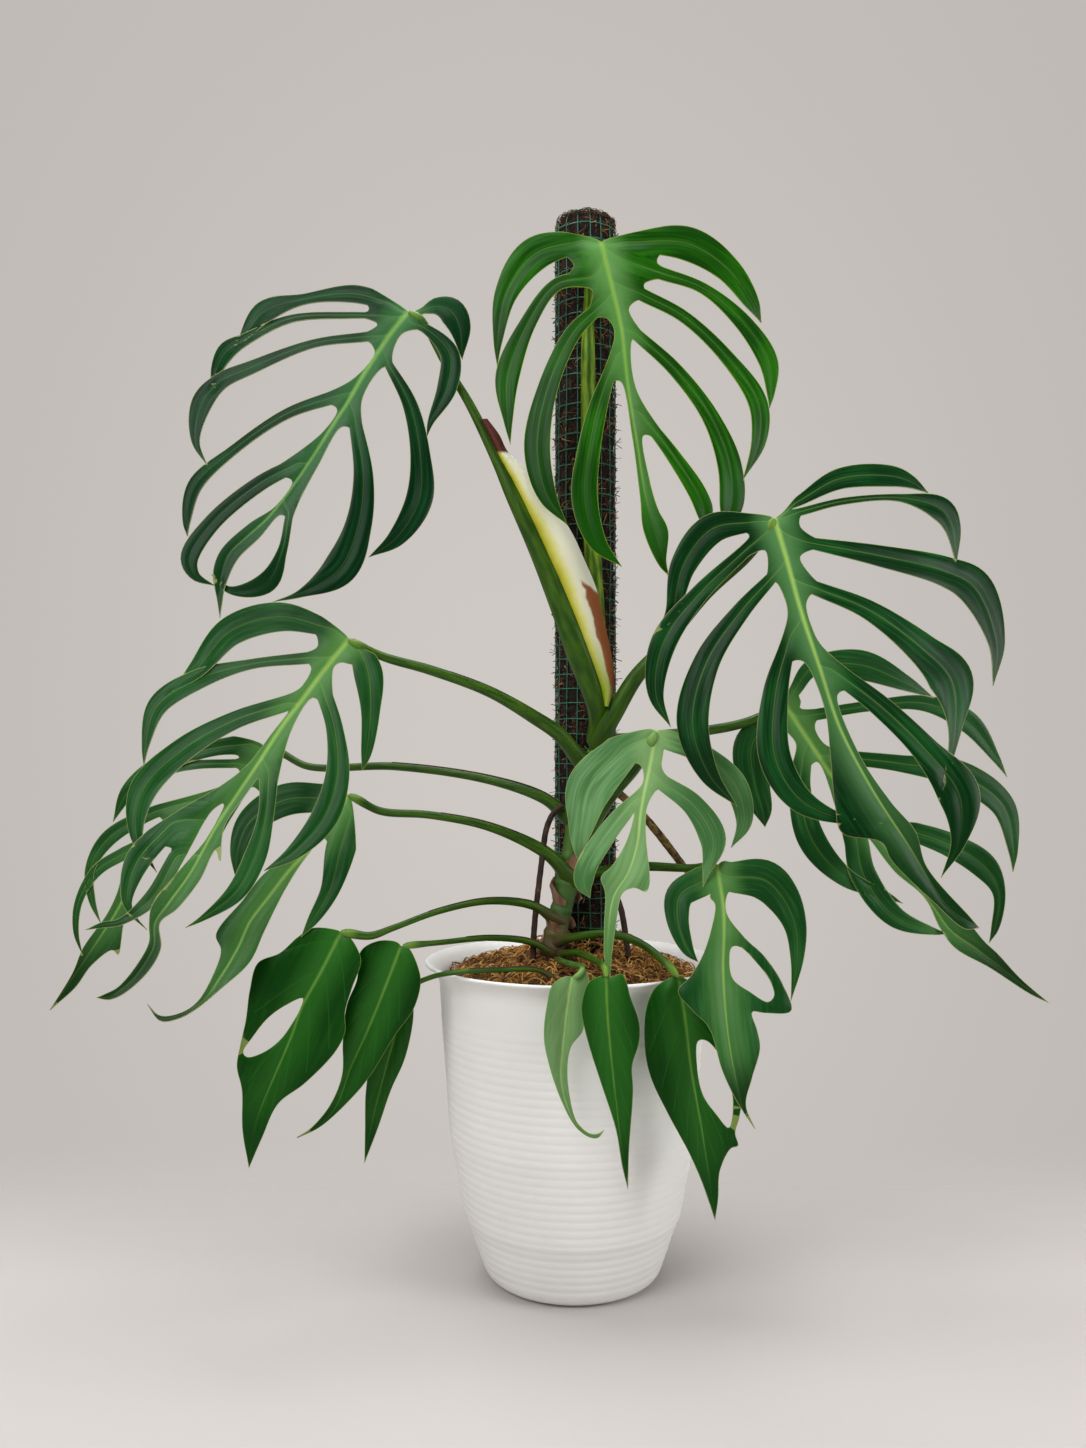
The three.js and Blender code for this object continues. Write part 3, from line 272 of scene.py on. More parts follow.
            cut([125, 853, 6.5], [101, 867, 6], [88, 882, 5], [79, 901, 4], [76, 916, 3.5], [76.5, 935, 2.5],
                [83, 956, 0]),
            [122, 875], [117, 893], [107, 914], [83, 948], [73, 972],
        ],
        "right": [
            [268, 762],
            cut([265, 776, 6], [266, 815, 6], [256, 852, 6], [243, 880, 4], [232, 897, 0]),
            [252, 787],
            cut([236, 802, 4.5], [222, 826, 4], [208, 852, 5], [190, 880, 5], [172, 903, 0]),
            [224, 799], [212, 807], [196, 819], [176, 835], [158, 851], [145, 868], [134, 890], [130, 905],
            [124, 922], [118, 955], [113, 950], [92, 965], [75, 988],
        ],
    },
    "leaf_left_inner": {
        "y": -56, "lean_u": 0, "lean_v": -0.38, "droop": 0.001,
        "petiole": [
            [575, 880, -24, 7], [565, 870.6, -30, 7], [545, 852, -36, 6.5], [490, 827, -44, 4.6],
            [430, 815, -50, 4], [380, 811, -55, 4], [357.5, 799.4, -56, 3.6], [349, 795, -56, 3],
        ],
        "midrib": [
            [348.3, 795], [330, 822], [308, 850], [288, 872], [268, 898], [250, 922], [238, 948], [222, 975],
            [203, 1001], [180, 1015], [160, 1018.5], [147, 1004],
        ],
        "left": [
            [343, 791],
            cut([326, 798, 14], [285, 800, 16], [250, 822, 13], [238, 850, 8], [236, 880, 0]),
            [331, 808], [322, 822], [296, 852], [265, 873], [243, 900], [216, 935], [221, 950], [213, 975],
            [197, 1002], [180, 1013], [160, 1015.5],
        ],
        "right": [
            [351, 798],
            cut([351, 815, 12], [341, 848, 15], [330, 890, 9.5], [313, 920, 5.5], [301, 937, 0]),
            [322, 838], [306, 857], [285, 890], [265, 930], [250, 962], [222, 988], [195, 1010], [178, 1019],
            [160, 1021],
        ],
    },
    "leaf_lower_left_outer": {
        "y": -98, "lean_u": 0, "lean_v": -0.02, "droop": 0.0012,
        "petiole": [
            [562, 922, -26, 5], [553.7, 918, -31, 5], [534, 906, -40, 4.4], [490, 901, -58, 3.6],
            [440, 910.8, -76, 3.2], [393, 928, -90, 3.2], [370, 935.8, -95, 4], [347, 932.9, -97, 3.6],
            [341, 932, -97, 3],
        ],
        "midrib": [
            [341, 932], [322, 970], [303, 1005], [292, 1035], [275, 1075], [262, 1105], [254, 1130],
            [249, 1168],
        ],
        "left": [
            [337, 930], [313, 928], [298, 937], [280, 953], [258, 963], [250, 990], [246, 1020], [240, 1047],
            [237, 1066], [242, 1090], [242.5, 1130],
        ],
        "window": [
            [303, 998], [286, 1005], [268, 1018], [252, 1038], [243, 1052], [247, 1057], [262, 1053],
            [279, 1041], [293, 1022], [300.5, 1008],
        ],
        "right": [
            [348, 935], [359, 952], [361, 962], [352, 988], [345, 1012], [345, 1032], [335, 1052],
            [305, 1083], [278, 1104], [262, 1138],
        ],
    },
    "leaf_lower_left_middle": {
        "y": -84, "lean_u": 0, "lean_v": 0.02, "droop": 0.0012,
        "petiole": [
            [560, 960, -30, 3.6], [552, 954, -38, 3.8], [532.8, 942.7, -46, 3.4], [490, 938, -56, 3],
            [440, 942.5, -72, 2.8], [412, 945, -82, 3], [403, 946, -83, 2.6],
        ],
        "midrib": [
            [401, 946], [388, 980], [370, 1025], [350, 1070], [337, 1105], [317, 1127.5], [297, 1138],
        ],
        "left": [
            [397, 942], [378, 941], [361, 951], [357, 980], [347, 1005], [343, 1040], [342, 1075],
            [330, 1105], [311, 1128],
        ],
        "right": [
            [408, 947], [419, 970], [420.5, 985], [413, 1010], [395, 1035], [367, 1080], [345, 1105],
            [320, 1127],
        ],
    },
    "leaf_lower_left_inner": {
        "y": -68, "lean_u": 0, "lean_v": 0.08, "droop": 0.0012,
        "petiole": [
            [553.7, 988, -84, 2.6], [552, 978, -88, 2.6], [536, 970, -94, 2.6], [500, 970, -99, 2.6],
            [460, 972, -102, 2.6], [435, 976, -92, 2.6], [412, 985, -70, 2.4], [408, 987, -67, 2.2],
        ],
        "midrib": [
            [408, 987], [395, 1035], [384, 1075], [375, 1110], [367, 1145], [364.5, 1163],
        ],
        "left": [
            [404, 988], [388, 1015], [372, 1055], [366, 1090], [365, 1130],
        ],
        "right": [
            [411, 989], [413.5, 1015], [405, 1058], [391, 1090], [378, 1128],
        ],
    },
    "leaf_small_pale": {
        "y": -150, "lean_u": 0, "lean_v": 0, "droop": 0.002,
        "petiole": [
            [555, 962, -28, 3.2], [559, 960, -50, 3.2], [564, 962, -80, 3.2], [573, 964.7, -116, 3.2],
            [583, 968, -146, 3], [580, 974, -153, 2.6], [573, 978, -152, 2.2],
        ],
        "midrib": [
            [572, 977], [567.5, 1005], [563, 1045], [561, 1080], [569.8, 1113], [577, 1125.5], [590, 1135.7],
            [598, 1136], [604, 1130.5],
        ],
        "left": [
            [567, 976], [553, 984], [547, 1005], [544, 1038], [551, 1072], [561, 1100], [572, 1122],
            [580, 1131.3], [590, 1137.5], [598, 1138],
        ],
        "right": [
            [579, 972], [586, 971], [589, 982], [583, 1005], [583, 1030], [571, 1047], [567.5, 1075],
            [575, 1118], [581, 1127], [590, 1133.6], [597, 1134],
        ],
    },
    "leaf_small_dark": {
        "y": -168, "lean_u": 0, "lean_v": -0.02, "droop": 0.002,
        "petiole": [
            [558, 955, -28, 3.6], [563, 954, -42, 3.6], [571, 953, -62, 3.6], [580, 953.5, -90, 3.6],
            [596, 961, -134, 3.4], [604.5, 967, -160, 3], [606, 977, -168, 2.6],
        ],
        "midrib": [
            [606, 976], [607.5, 1015], [611.5, 1060], [616, 1100], [622, 1150], [628, 1190],
        ],
        "left": [
            [601, 976], [589, 982], [582, 1003], [582, 1015], [589, 1045], [601, 1083], [616, 1130],
            [622, 1165],
        ],
        "right": [
            [611, 977], [622, 974], [627, 984], [630, 996], [639, 1022], [639, 1042], [632, 1066],
            [633, 1090], [629, 1150],
        ],
    },
    "leaf_lower_right": {
        "y": -128, "lean_u": 0.22, "lean_v": -0.06, "droop": 0.0008,
        "petiole": [
            [556, 943, -30, 4], [570, 938, -52, 4.2], [610, 934, -78, 4.2], [640, 943, -98, 4],
            [668, 965, -124, 3.6], [678, 977, -129, 3],
        ],
        "midrib": [
            [678, 977], [685, 1020], [691, 1070], [700, 1120], [708, 1170], [715, 1220],
        ],
        "left": [
            [672, 977], [655, 988], [646, 1010], [645, 1050], [651, 1078], [667, 1112], [690, 1155],
            [703, 1185],
        ],
        "right": [
            [684, 978], [697, 986], [712, 1002], [726, 1025], [736, 1060], [742, 1090], [739, 1118],
            [735, 1133], [738, 1146], [731, 1148], [720, 1170], [718, 1200],
        ],
        "window_right": [
            [698, 1041], [705, 1040], [716, 1050], [728, 1078], [733, 1102], [729, 1128], [716, 1114],
            [703, 1095], [697, 1066],
        ],
    },
    "leaf_lower_right_upper": {
        "y": -108, "lean_u": 0, "lean_v": -0.25, "droop": 0.0008,
        "petiole": [
            [575, 876, -22, 4.6], [596, 872, -32, 5], [640, 866.5, -62, 4.8], [690, 868, -92, 4],
            [714, 866, -107, 3.4], [718, 867, -108, 3],
        ],
        "midrib": [
            [717, 866], [723, 905], [724, 930], [723, 970], [728, 1035], [737, 1085], [744, 1112],
            [755, 1129],
        ],
        "left": [
            [711, 864],
            cut([703, 881, 15], [680, 895, 14], [677.5, 918, 11.5], [688, 950, 6], [698, 962, 0]),
            [710, 898], [715, 904], [711, 930], [702, 957], [690, 977], [678, 991], [692, 1010], [709, 1028],
            [722, 1070], [736, 1100],
        ],
        "right": [
            [723, 861],
            cut([730, 877, 15], [764, 880, 20], [782, 897, 17.5], [795, 925, 11.5], [797, 960, 6.5],
                [791, 1001, 0]),
            [726, 900], [727, 914], [745, 938], [765, 957], [783, 985], [791, 1011], [765, 1013],
            [752, 1012], [757, 1030], [760, 1048], [752, 1078], [746, 1105],
        ],
        "window_right": [
            [732, 947], [740, 947], [755, 961], [770, 981], [774, 996], [768, 1002], [750, 992], [733, 979],
            [729.5, 960],
        ],
    },
    "leaf_centre_pale": {
        "y": -92, "lean_u": 0, "lean_v": -0.22, "droop": 0.001,
        "petiole": [
            [578, 850, -24, 6], [590, 832, -40, 5.5], [612, 796, -60, 5.5], [636, 768, -80, 5],
            [652, 740, -93, 4.2], [656, 732, -93, 3],
        ],
        "midrib": [
            [656, 731], [649, 770], [641, 810], [637, 845], [628, 873], [614, 896], [608.5, 930], [608, 955],
            [610.5, 980],
        ],
        "left": [
            [650, 729],
            cut([622, 751, 18], [590, 787, 23], [582, 822, 14], [579, 848, 6], [579, 862, 0]),
            [641, 766], [643, 782],
            cut([632, 803, 8], [606, 835, 10], [586, 868, 10.5], [584, 884, 9], [590, 898, 0]),
            [634, 813], [627, 840], [612, 866], [601, 877], [605, 893], [604, 930], [604.5, 960],
        ],
        "right": [
            [661, 730],
            cut([668, 740, 10], [702, 754, 10], [735, 785, 12], [744, 822, 8], [731, 848, 0]),
            [663, 756], [662, 768],
            cut([663, 783, 8], [694, 806, 11], [713, 840, 13], [706, 873, 3.5], [703, 887, 0]),
            [655, 792], [647, 808], [646, 835], [649.5, 884], [646, 892], [635, 888], [623, 893], [616, 925],
            [611.5, 960],
        ],
    },
    "leaf_right_behind": {
        "y": 25, "lean_u": 0, "lean_v": -0.1, "droop": 0.0006,
        "petiole": [
            [595, 752, -20, 5], [603, 741, -24, 5], [625, 738, -16, 5], [660, 735, 2, 5], [710, 730, 14, 5],
            [744, 723, 20, 4.6], [780, 708, 25, 3.8], [786, 706, 25, 3],
        ],
        "midrib": [
            [786, 706], [800, 727], [815, 750], [835, 780], [860, 812], [885, 845], [910, 878], [932, 905],
            [950, 930], [975, 948], [1000, 967], [1025, 987], [1049, 1003],
        ],
        "left": [
            [782, 709],
            cut([773, 718, 10], [752, 745, 18], [755, 785, 15], [763, 812, 9], [765, 827, 0]),
            [786, 731], [796, 744],
            cut([803, 756, 9], [800, 790, 11], [812, 840, 14], [845, 877, 9.5], [888, 896, 3.5],
                [903, 903.5, 0]),
            [818, 762],
            cut([826, 795, 7], [852, 825, 11], [863, 874, 13], [895, 917, 10.5], [932, 931, 4],
                [948, 934, 0]),
            [868, 838], [895, 872], [925, 898], [940, 928], [955, 948], [990, 968], [1030, 994],
        ],
        "right": [
            [787, 700],
            cut([794, 692, 6], [812, 668, 9], [860, 665, 15], [905, 683, 8], [934, 698, 0]),
            [801, 702], [800, 708],
            cut([808, 716, 6], [870, 706, 5.5], [925, 703.5, 8], [968, 722, 11], [995, 757, 4.5],
                [1007, 777, 0]),
            [815, 728], [826, 745],
            cut([840, 757, 7], [900, 763.5, 8.5], [960, 775, 14], [1003, 806, 12], [1013, 850, 5],
                [1013, 872, 0]),
            [846, 775], [884, 818],
            cut([902, 828, 9], [950, 845, 12], [985, 867, 13], [999, 893, 6.5], [995, 928, 4],
                [989, 943, 0]),
            [902, 848], [925, 876], [965, 918], [985, 942], [997, 953], [1020, 978],
        ],
    },
}

STEM = [
    [600, 744, -19.5, 9], [590, 770, -20, 9.5], [582, 800, -20, 9], [575, 830, -21, 9.5], [570, 860, -22, 9],
    [566, 890, -23, 11], [560, 915, -24, 10], [556, 935, -25, 11.5], [553, 960, -26, 12],
    [553, 1000, -26, 10],
]
ROOTS = {
    "root_left": [
        [562, 806, -30, 3], [553, 814, -36, 3], [546.4, 829, -38, 3], [542.4, 856, -38, 3],
        [537, 901, -38, 3], [533.6, 938, -38, 3], [533, 985, -40, 3],
    ],
    "root_right": [[600, 872, -13, 3], [618, 900, -14, 3], [627, 945, -20, 3], [632, 1000, -26, 3]],
    "root_slanting": [
        [590, 760, -26, 4], [598, 768, -34, 4], [616, 790, -36, 4], [645, 817.7, -40, 4],
        [683.5, 866.6, -46, 3.5], [690, 876, -47, 2],
    ],
}
# The sheath's rows: v of its inner edge, u and v of its outer edge
SHEATH = [
    [706, 609, 707], [692, 614.5, 692], [659, 612, 660], [628, 606, 630], [597, 597, 592], [566, 585, 562],
    [532, 570, 530], [505, 554, 508], [480, 536, 484], [462, 520, 464], [450, 507, 451], [434, 499, 435],
    [419, 487, 419],
]
SHEATH_SEAT = 0.55
SHEATH_INNER = -42
SHEATH_BULGE = -48
SHEATH_OUTER = -36
SHEATH_HALF = 0.45
SHEATH_WAVE = 0.9
SHEATH_STEP = 3.0
SHEATH_COLUMNS = 13
# Turned shapes: rows [radius, height]
POT_PROFILE = [
    [72, 0], [80, 3], [84.5, 8], [92.8, 32], [98, 49], [104, 63], [111, 100],
    [118, 140], [122, 197], [126.4, 255], [128.5, 285],
]
LIP = [[132, 292], [137, 296.5], [142, 300], [140.6, 302], [134.6, 299.2], [129, 293.5], [125.4, 287]]
MIX_TOP = [[0, 302], [45, 301], [80, 296], [105, 290], [123.5, 285]]
POT_WALL = 4
POT_FLOOR = 6


# Curves and placing

CURVE_STEPS = 12


def seen(u, v, y):
    """Real places in millimetres of picture steps u, v at depth y."""
    u, v, y = (np.asarray(value, float) for value in (u, v, y))
    scale = (EYE_AWAY + y) / EYE_REACH
    return np.stack([EYE_X + (u - EYE_U) * scale, y + 0 * u, EYE_Z + (EYE_V - v) * scale], -1)


def along_line(points, axes=2):
    """Distance along a line of points, from its first."""
    return np.concatenate([[0], np.cumsum(np.linalg.norm(np.diff(points[:, :axes], axis=0), axis=1))])


def hermite(t, start, end, size, start_way, end_way):
    """Places at shares t of a curve that leaves start along its way and comes to end along its own."""
    curve = (2 * t ** 3 - 3 * t ** 2 + 1) * start + (t ** 3 - 2 * t ** 2 + t) * size * start_way
    return curve + (3 * t ** 2 - 2 * t ** 3) * end + (t ** 3 - t ** 2) * size * end_way


def unit(rows):
    """Rows turned into rows of length 1."""
    return rows / np.maximum(np.linalg.norm(rows, axis=1), 1e-9)[:, None]


def directions(line):
    """Unit ways along a line of points, one at each point."""
    return unit(np.gradient(line, axis=0))


def to_front(normals):
    """Unit normals, all turned over where most of them point to the back."""
    normals = unit(normals)
    return -normals if normals[:, 1].mean() > 0 else normals


def smooth_line(stations, step, before=None, after=None):
    """Evenly spaced rows of one smooth curve through the stations, bent by the rows before and after it."""
    rows = [list(row) for row in stations]
    if before is not None:
        rows.insert(0, list(before))
    if after is not None:
        rows.append(list(after))
    rows = np.array(rows, float)
    gaps = np.sqrt(np.maximum(np.linalg.norm(np.diff(rows[:, :2], axis=0), axis=1), 1e-3))
    slopes = np.diff(rows, axis=0) / gaps[:, None]
    turns = np.empty_like(rows)
    turns[0] = slopes[0]
    turns[-1] = slopes[-1]
    share = (gaps[:-1] / (gaps[:-1] + gaps[1:]))[:, None]
    turns[1:-1] = slopes[:-1] * (1 - share) + slopes[1:] * share
    first = 0 if before is None else 1
    last = len(rows) - 1 - (0 if after is None else 1)
    t = np.linspace(0, 1, CURVE_STEPS + 1)[:-1, None]
    dense = [hermite(t, rows[i], rows[i + 1], gaps[i], turns[i], turns[i + 1]) for i in range(first, last)]
    dense = np.concatenate([*dense, rows[last][None, :]])
    length = along_line(dense)
    count = max(2, int(round(length[-1] / step)) + 1)
    even = np.linspace(0, length[-1], count)
    return np.stack([np.interp(even, length, dense[:, c]) for c in range(dense.shape[1])], -1)


def nearest(points, lines, offsets=None):
    """Distance from each point to the nearest of the lines, and how far along, from the line's offset on."""
    a = np.concatenate([line[:-1, :2] for line in lines])
    b = np.concatenate([line[1:, :2] for line in lines])
    runs = [along_line(line)[:-1] + (0 if offsets is None else offsets[i]) for i, line in enumerate(lines)]
    start = np.concatenate(runs)
    side = b - a
    long = np.maximum((side ** 2).sum(1), 1e-12)
    distance = np.empty(len(points))
    place = np.empty(len(points))
    chunk = 1500
    for i in range(0, len(points), chunk):
        p = points[i:i + chunk, None, :2]
        share = np.clip(((p - a) * side).sum(2) / long, 0, 1)
        away = np.linalg.norm(p - a - share[:, :, None] * side, axis=2)
        best = away.argmin(1)
        rows = np.arange(len(best))
        distance[i:i + chunk] = away[rows, best]
        place[i:i + chunk] = start[best] + share[rows, best] * np.sqrt(long[best])
    return distance, place


def inside(points, loop):
    """Which points lie inside the closed loop."""
    x, y = points[:, 0, None], points[:, 1, None]
    x0, y0 = loop[:, 0], loop[:, 1]
    x1, y1 = np.roll(x0, -1), np.roll(y0, -1)
    crosses = (y0 > y) != (y1 > y)
    with np.errstate(divide="ignore", invalid="ignore"):
        at = x0 + (y - y0) * (x1 - x0) / (y1 - y0)
    return (crosses & (x < at)).sum(1) % 2 == 1


def on_blade(points, loop, holes):
    """Which points lie inside the loop and outside every hole."""
    kept = inside(points, loop)
    for hole in holes:
        kept &= ~inside(points, hole)
    return kept


def ripple(places, size, seed=0):
    """Soft noise from -1 to 1 at places in millimetres, one swell about every size."""
    shift = Vector((seed * 7.31, seed * 3.17, seed * 1.73))
    return np.array([noise.noise(Vector(place) / size + shift) for place in places])


# Meshes

class Work:
    """Points, faces and values at the points of one piece while it is made."""

    def __init__(self):
        self.points = []
        self.faces = []
        self.skins = []
        self.values = {}
        self.count = 0

    def add(self, points, faces, skin=0, **values):
        points = np.asarray(points, float)
        self.points.append(points)
        self.faces.extend([tuple(int(i) + self.count for i in face) for face in faces])
        self.skins.extend([skin] * len(faces))
        for name, value in values.items():
            full = np.broadcast_to(np.asarray(value, float), (len(points),))
            self.values.setdefault(name, []).append((self.count, full))
        self.count += len(points)


def make_piece(name, work, materials, replaced, sharp=50):
    """Turns the work into a Blender object that rides on the root body."""
    mesh = bpy.data.meshes.new(name)
    mesh.from_pydata((np.concatenate(work.points) * MM).tolist(), [], work.faces)
    for material in materials:
        mesh.materials.append(material)
    mesh.polygons.foreach_set("material_index", work.skins)
    mesh.polygons.foreach_set("use_smooth", [True] * len(mesh.polygons))
    for value_name, parts in work.values.items():
        values = np.zeros(work.count, np.float32)
        for start, value in parts:
            values[start:start + len(value)] = value
        mesh.attributes.new(value_name, "FLOAT", "POINT").data.foreach_set("value", values)
    mesh.set_sharp_from_angle(angle=math.radians(sharp))
    mesh.update()
    piece = bpy.data.objects.new(name, mesh)
    piece.shadow_terminator_geometry_offset = 0.4
    bpy.context.scene.collection.objects.link(piece)
    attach(piece, "root")
    if replaced:
        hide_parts(*replaced)


def grid_faces(index):
    """Four-sided faces between the rows and columns of a grid of point numbers."""
    corners = [index[:-1, :-1], index[:-1, 1:], index[1:, 1:], index[1:, :-1]]
    return [tuple(face) for face in np.stack(corners, -1).reshape(-1, 4).tolist()]


def shell_faces(faces, rim, count):
    """Faces of a thin shell: the front ones, the same turned round count points on, and the rim between."""
    back = [tuple(i + count for i in face[::-1]) for face in faces]
    return faces + back + [(q, p, p + count, q + count) for p, q in rim]


def grid_shell(rows, columns):
    """Faces of a shell whose front and back are grids of points, one after the other."""
    index = np.arange(rows * columns).reshape(rows, columns)
    sides = (index[0], index[1:, -1], index[-1, -2::-1], index[-2:0:-1, 0])
    ring = [int(i) for side in sides for i in side]
    return shell_faces(grid_faces(index), zip(ring, ring[1:] + ring[:1]), rows * columns)


def circle(count):
    """Angles evenly spaced round a circle."""
    return np.arange(count) * 2 * math.pi / count


def rings_of(line, sides):
    """Rings of points round a line of rows [x, y, z, r], with frames that don't twist."""
    ways = directions(line[:, :3])
    helper = np.array([0.0, 1.0, 0.0]) if abs(ways[0][1]) < 0.8 else np.array([1.0, 0.0, 0.0])
    across = np.cross(ways[0], helper)
    cosines, sines = np.cos(circle(sides))[:, None], np.sin(circle(sides))[:, None]
    rings = []
    for centre, way, radius in zip(line[:, :3], ways, line[:, 3]):
        across = across - way * across.dot(way)
        across /= np.linalg.norm(across)
        rings.append(centre + radius * (cosines * across + sines * np.cross(way, across)))
    return np.concatenate(rings)


def ring_faces(rows, sides, closed=False):
    """Faces that join rows of rings, with flat ends unless the rows close on themselves."""
    faces = []
    for i in range(rows if closed else rows - 1):
        low = i * sides
        high = ((i + 1) % rows) * sides
        for k in range(sides):
            j = (k + 1) % sides
            faces.append((low + k, low + j, high + j, high + k))
    if not closed:
        faces.append(tuple(range(sides))[::-1])
        faces.append(tuple(range((rows - 1) * sides, rows * sides)))
    return faces


def plant_line(stations, step):
    """A smooth line of real rows [x, y, z, r] from noted rows [u, v, depth, half-width]."""
    rows = smooth_line(stations, step)
    places = seen(rows[:, 0], rows[:, 1], rows[:, 2])
    radius = np.maximum(rows[:, 3], 0.2) * (EYE_AWAY + rows[:, 2]) / EYE_REACH
    return np.concatenate([places, radius[:, None]], 1)


def lathe(profile, segments):
    """Points and faces of a closed profile of rows [r, z] turned round the upright axis."""
    turns = circle(segments)
    r = profile[:, 0][:, None]
    z = profile[:, 1][:, None] + 0 * turns
    points = np.stack([r * np.cos(turns), r * np.sin(turns), z], -1).reshape(-1, 3)
    return points, ring_faces(len(profile), segments)


def pushed_out(points, line, sides, amounts):
    """Ring points moved out from the middle of their ring by the amounts."""
    return points + unit(points - np.repeat(line[:, :3], sides, axis=0)) * amounts[:, None]


def one_body(points, faces):
    """Work that holds one closed body."""
    work = Work()
    work.add(points, faces)
    return work


def add_strand(work, x, y, z, radius, tone, skin=0):
    """Adds a thin three-sided strand through its points."""
    line = np.column_stack([x, y, z, np.full(len(x), radius)])
    work.add(rings_of(line, 3), ring_faces(len(x), 3), skin, tone=tone)


# Leaves

# Where the points of a row across a finger lie, as shares of its half-width
COLUMNS = np.array([1, 0.86, 0.62, 0.36, 0.14, 0, -0.14, -0.36, -0.62, -0.86, -1])
# Steps between points, and the most of a finger that can lie in its root
FINGER_STEP = 4.0
LONGEST_ROOT = 0.4
FAR = 99.0
RIB_APART = 60.0
VEIN_SHARES = (0.03, 0.14, 0.26, 0.39, 0.53, 0.67)
VEIN_LEAD = 0.24
VEIN_END = 0.93
MIDRIB_GAPS = (1.3, 2.7, 4.4)
RIB_GAPS = (1.2, 2.8)
CLOSEST = 1.1
EDGE_STEP = 3.0
WEB_STEP = 5.0
# How the blade bends in depth: troughs, puffed flesh, rolled edge, sunk veins, swells and twisted tips
TROUGH = 0.12
TROUGH_REACH = 22
TROUGH_WIDTH = 15
PUFF = 2.9
PUFF_REACH = 6.5
EDGE_ROLL = 2.0
EDGE_REACH = 4.5
VEIN_DIP = 0.45
VEIN_WIDTH = 2.2
SWELL = 1.3
SWELL_SIZE = 55
# Ribs that stand out of the blade, most of all behind it
MIDRIB_WIDTH = 3.1
FULL_LENGTH = 330
MIDRIB_BACK = 2.0
MIDRIB_FRONT = 0.55
RIB_WIDTH = 1.1
RIB_BACK = 0.7
RIB_FRONT = 0.22
TWIST = 0.22
MOST_FINGERS = 64
TIP_CURL = 5.0
CURL_FROM = 0.6
CURL_SPAN = 0.16
BLADE_THICKNESS = 0.7


def finger_grid(stations, notches):
    """Rows of points across a finger, from just past the notches beside it, and the way in from its root."""
    line = smooth_line(stations, FINGER_STEP)
    ways = directions(line[:, :2])
    across = np.stack([-ways[:, 1], ways[:, 0]], -1)
    half = np.maximum(line[:, 2], 0.06)
    grid = line[:, None, :2] + across[:, None, :] * (half[:, None] * COLUMNS)[..., None]
    start = 0
    for notch in notches:
        gap = np.linalg.norm(line[:, :2] - notch, axis=1)
        beyond = int(gap.argmin())
        if beyond and gap[beyond] < 2 * half[beyond] + 3:
            start = max(start, beyond + 1)
    start = min(start, int(LONGEST_ROOT * len(line)))
    middle = line[:, :2]
    return {"grid": grid[start:], "middle": middle[start:], "half": half[start:], "lead": middle[:start + 1]}


def side_border(items, joint, tip, is_left):
    """One side's outline from joint to tip, its fingers, and its true edges."""
    border, fingers, edges = [], [], []
    waiting, before = [joint], None
    for number, item in enumerate(items):
        if not isinstance(item, dict):
            waiting.append(item)
            continue
        beside_it = items[max(number - 1, 0):number] + items[number + 1:number + 2]
        notches = [place for place in beside_it if not isinstance(place, dict)]
        finger = finger_grid(item["finger"], notches)
        grid = finger["grid"] if is_left else finger["grid"][:, ::-1]
        waiting.append(grid[0, 0])
        run = smooth_line(waiting, EDGE_STEP, before=before, after=grid[1, 0])
        edges.extend([run, grid[:, 0], grid[:, -1]])
        border.extend(run[:-1])
        finger["at"] = len(border) + len(COLUMNS) // 2
        border.extend(grid[0, :-1])
        waiting, before = [grid[0, -1]], grid[1, -1]
        fingers.append(finger)
    waiting.append(tip)
    run = smooth_line(waiting, EDGE_STEP, before=before)
    edges.append(run)
    border.extend(run)
    return np.array(border), fingers, edges


def rib_to(midrib, finger):
    """A curved rib from the midrib out to where a finger's rows start, leaving the midrib at a slant."""
    root = finger["lead"][0]
    ahead = finger["lead"][1] if len(finger["lead"]) > 1 else finger["middle"][1]
    way = (ahead - root) / np.linalg.norm(ahead - root)
    gap, place = nearest(root[None, :], [midrib])
    length = along_line(midrib)
    start = max(0.0, place[0] - 0.9 * gap[0])
    k = int(np.abs(length - start).argmin())
    down = midrib[min(k + 1, len(midrib) - 1)] - midrib[max(k - 1, 0)]
    down = down / np.linalg.norm(down)
    reach = np.linalg.norm(root - midrib[k])
    lean = down * 0.5 + (root - midrib[k]) / max(reach, 1e-6) * 0.5
    t = np.linspace(0, 1, max(3, int(reach / 3)) + 1)[:, None]
    return k, np.concatenate([hermite(t, midrib[k], root, reach, lean, way), finger["lead"][1:]])


def whole_veins(midrib, border, loop, holes):
    """Slanting side veins for a side of a leaf that has no fingers, each as long as it stays on the blade."""
    length = along_line(midrib)
    veins = []
    for share in VEIN_SHARES:
        k = int(np.abs(length - share * length[-1]).argmin())
        ahead = min(k + int(VEIN_LEAD * len(midrib)) + 3, len(midrib) - 1)
        end = border[np.linalg.norm(border - midrib[ahead], axis=1).argmin()]
        t = np.linspace(0, VEIN_END, 14)[:, None]
        middle = midrib[k] * 0.35 + end * 0.65 - (midrib[min(k + 2, len(midrib) - 1)] - midrib[k]) * 0.9
        line = (1 - t) ** 2 * midrib[k] + 2 * t * (1 - t) * middle + t ** 2 * end
        good = on_blade(line, loop, holes)
        stop = len(line) if good[1:].all() else 1 + int(np.argmin(good[1:]))
        if stop > 3:
            veins.append((k, line[:stop - 1]))
    return veins


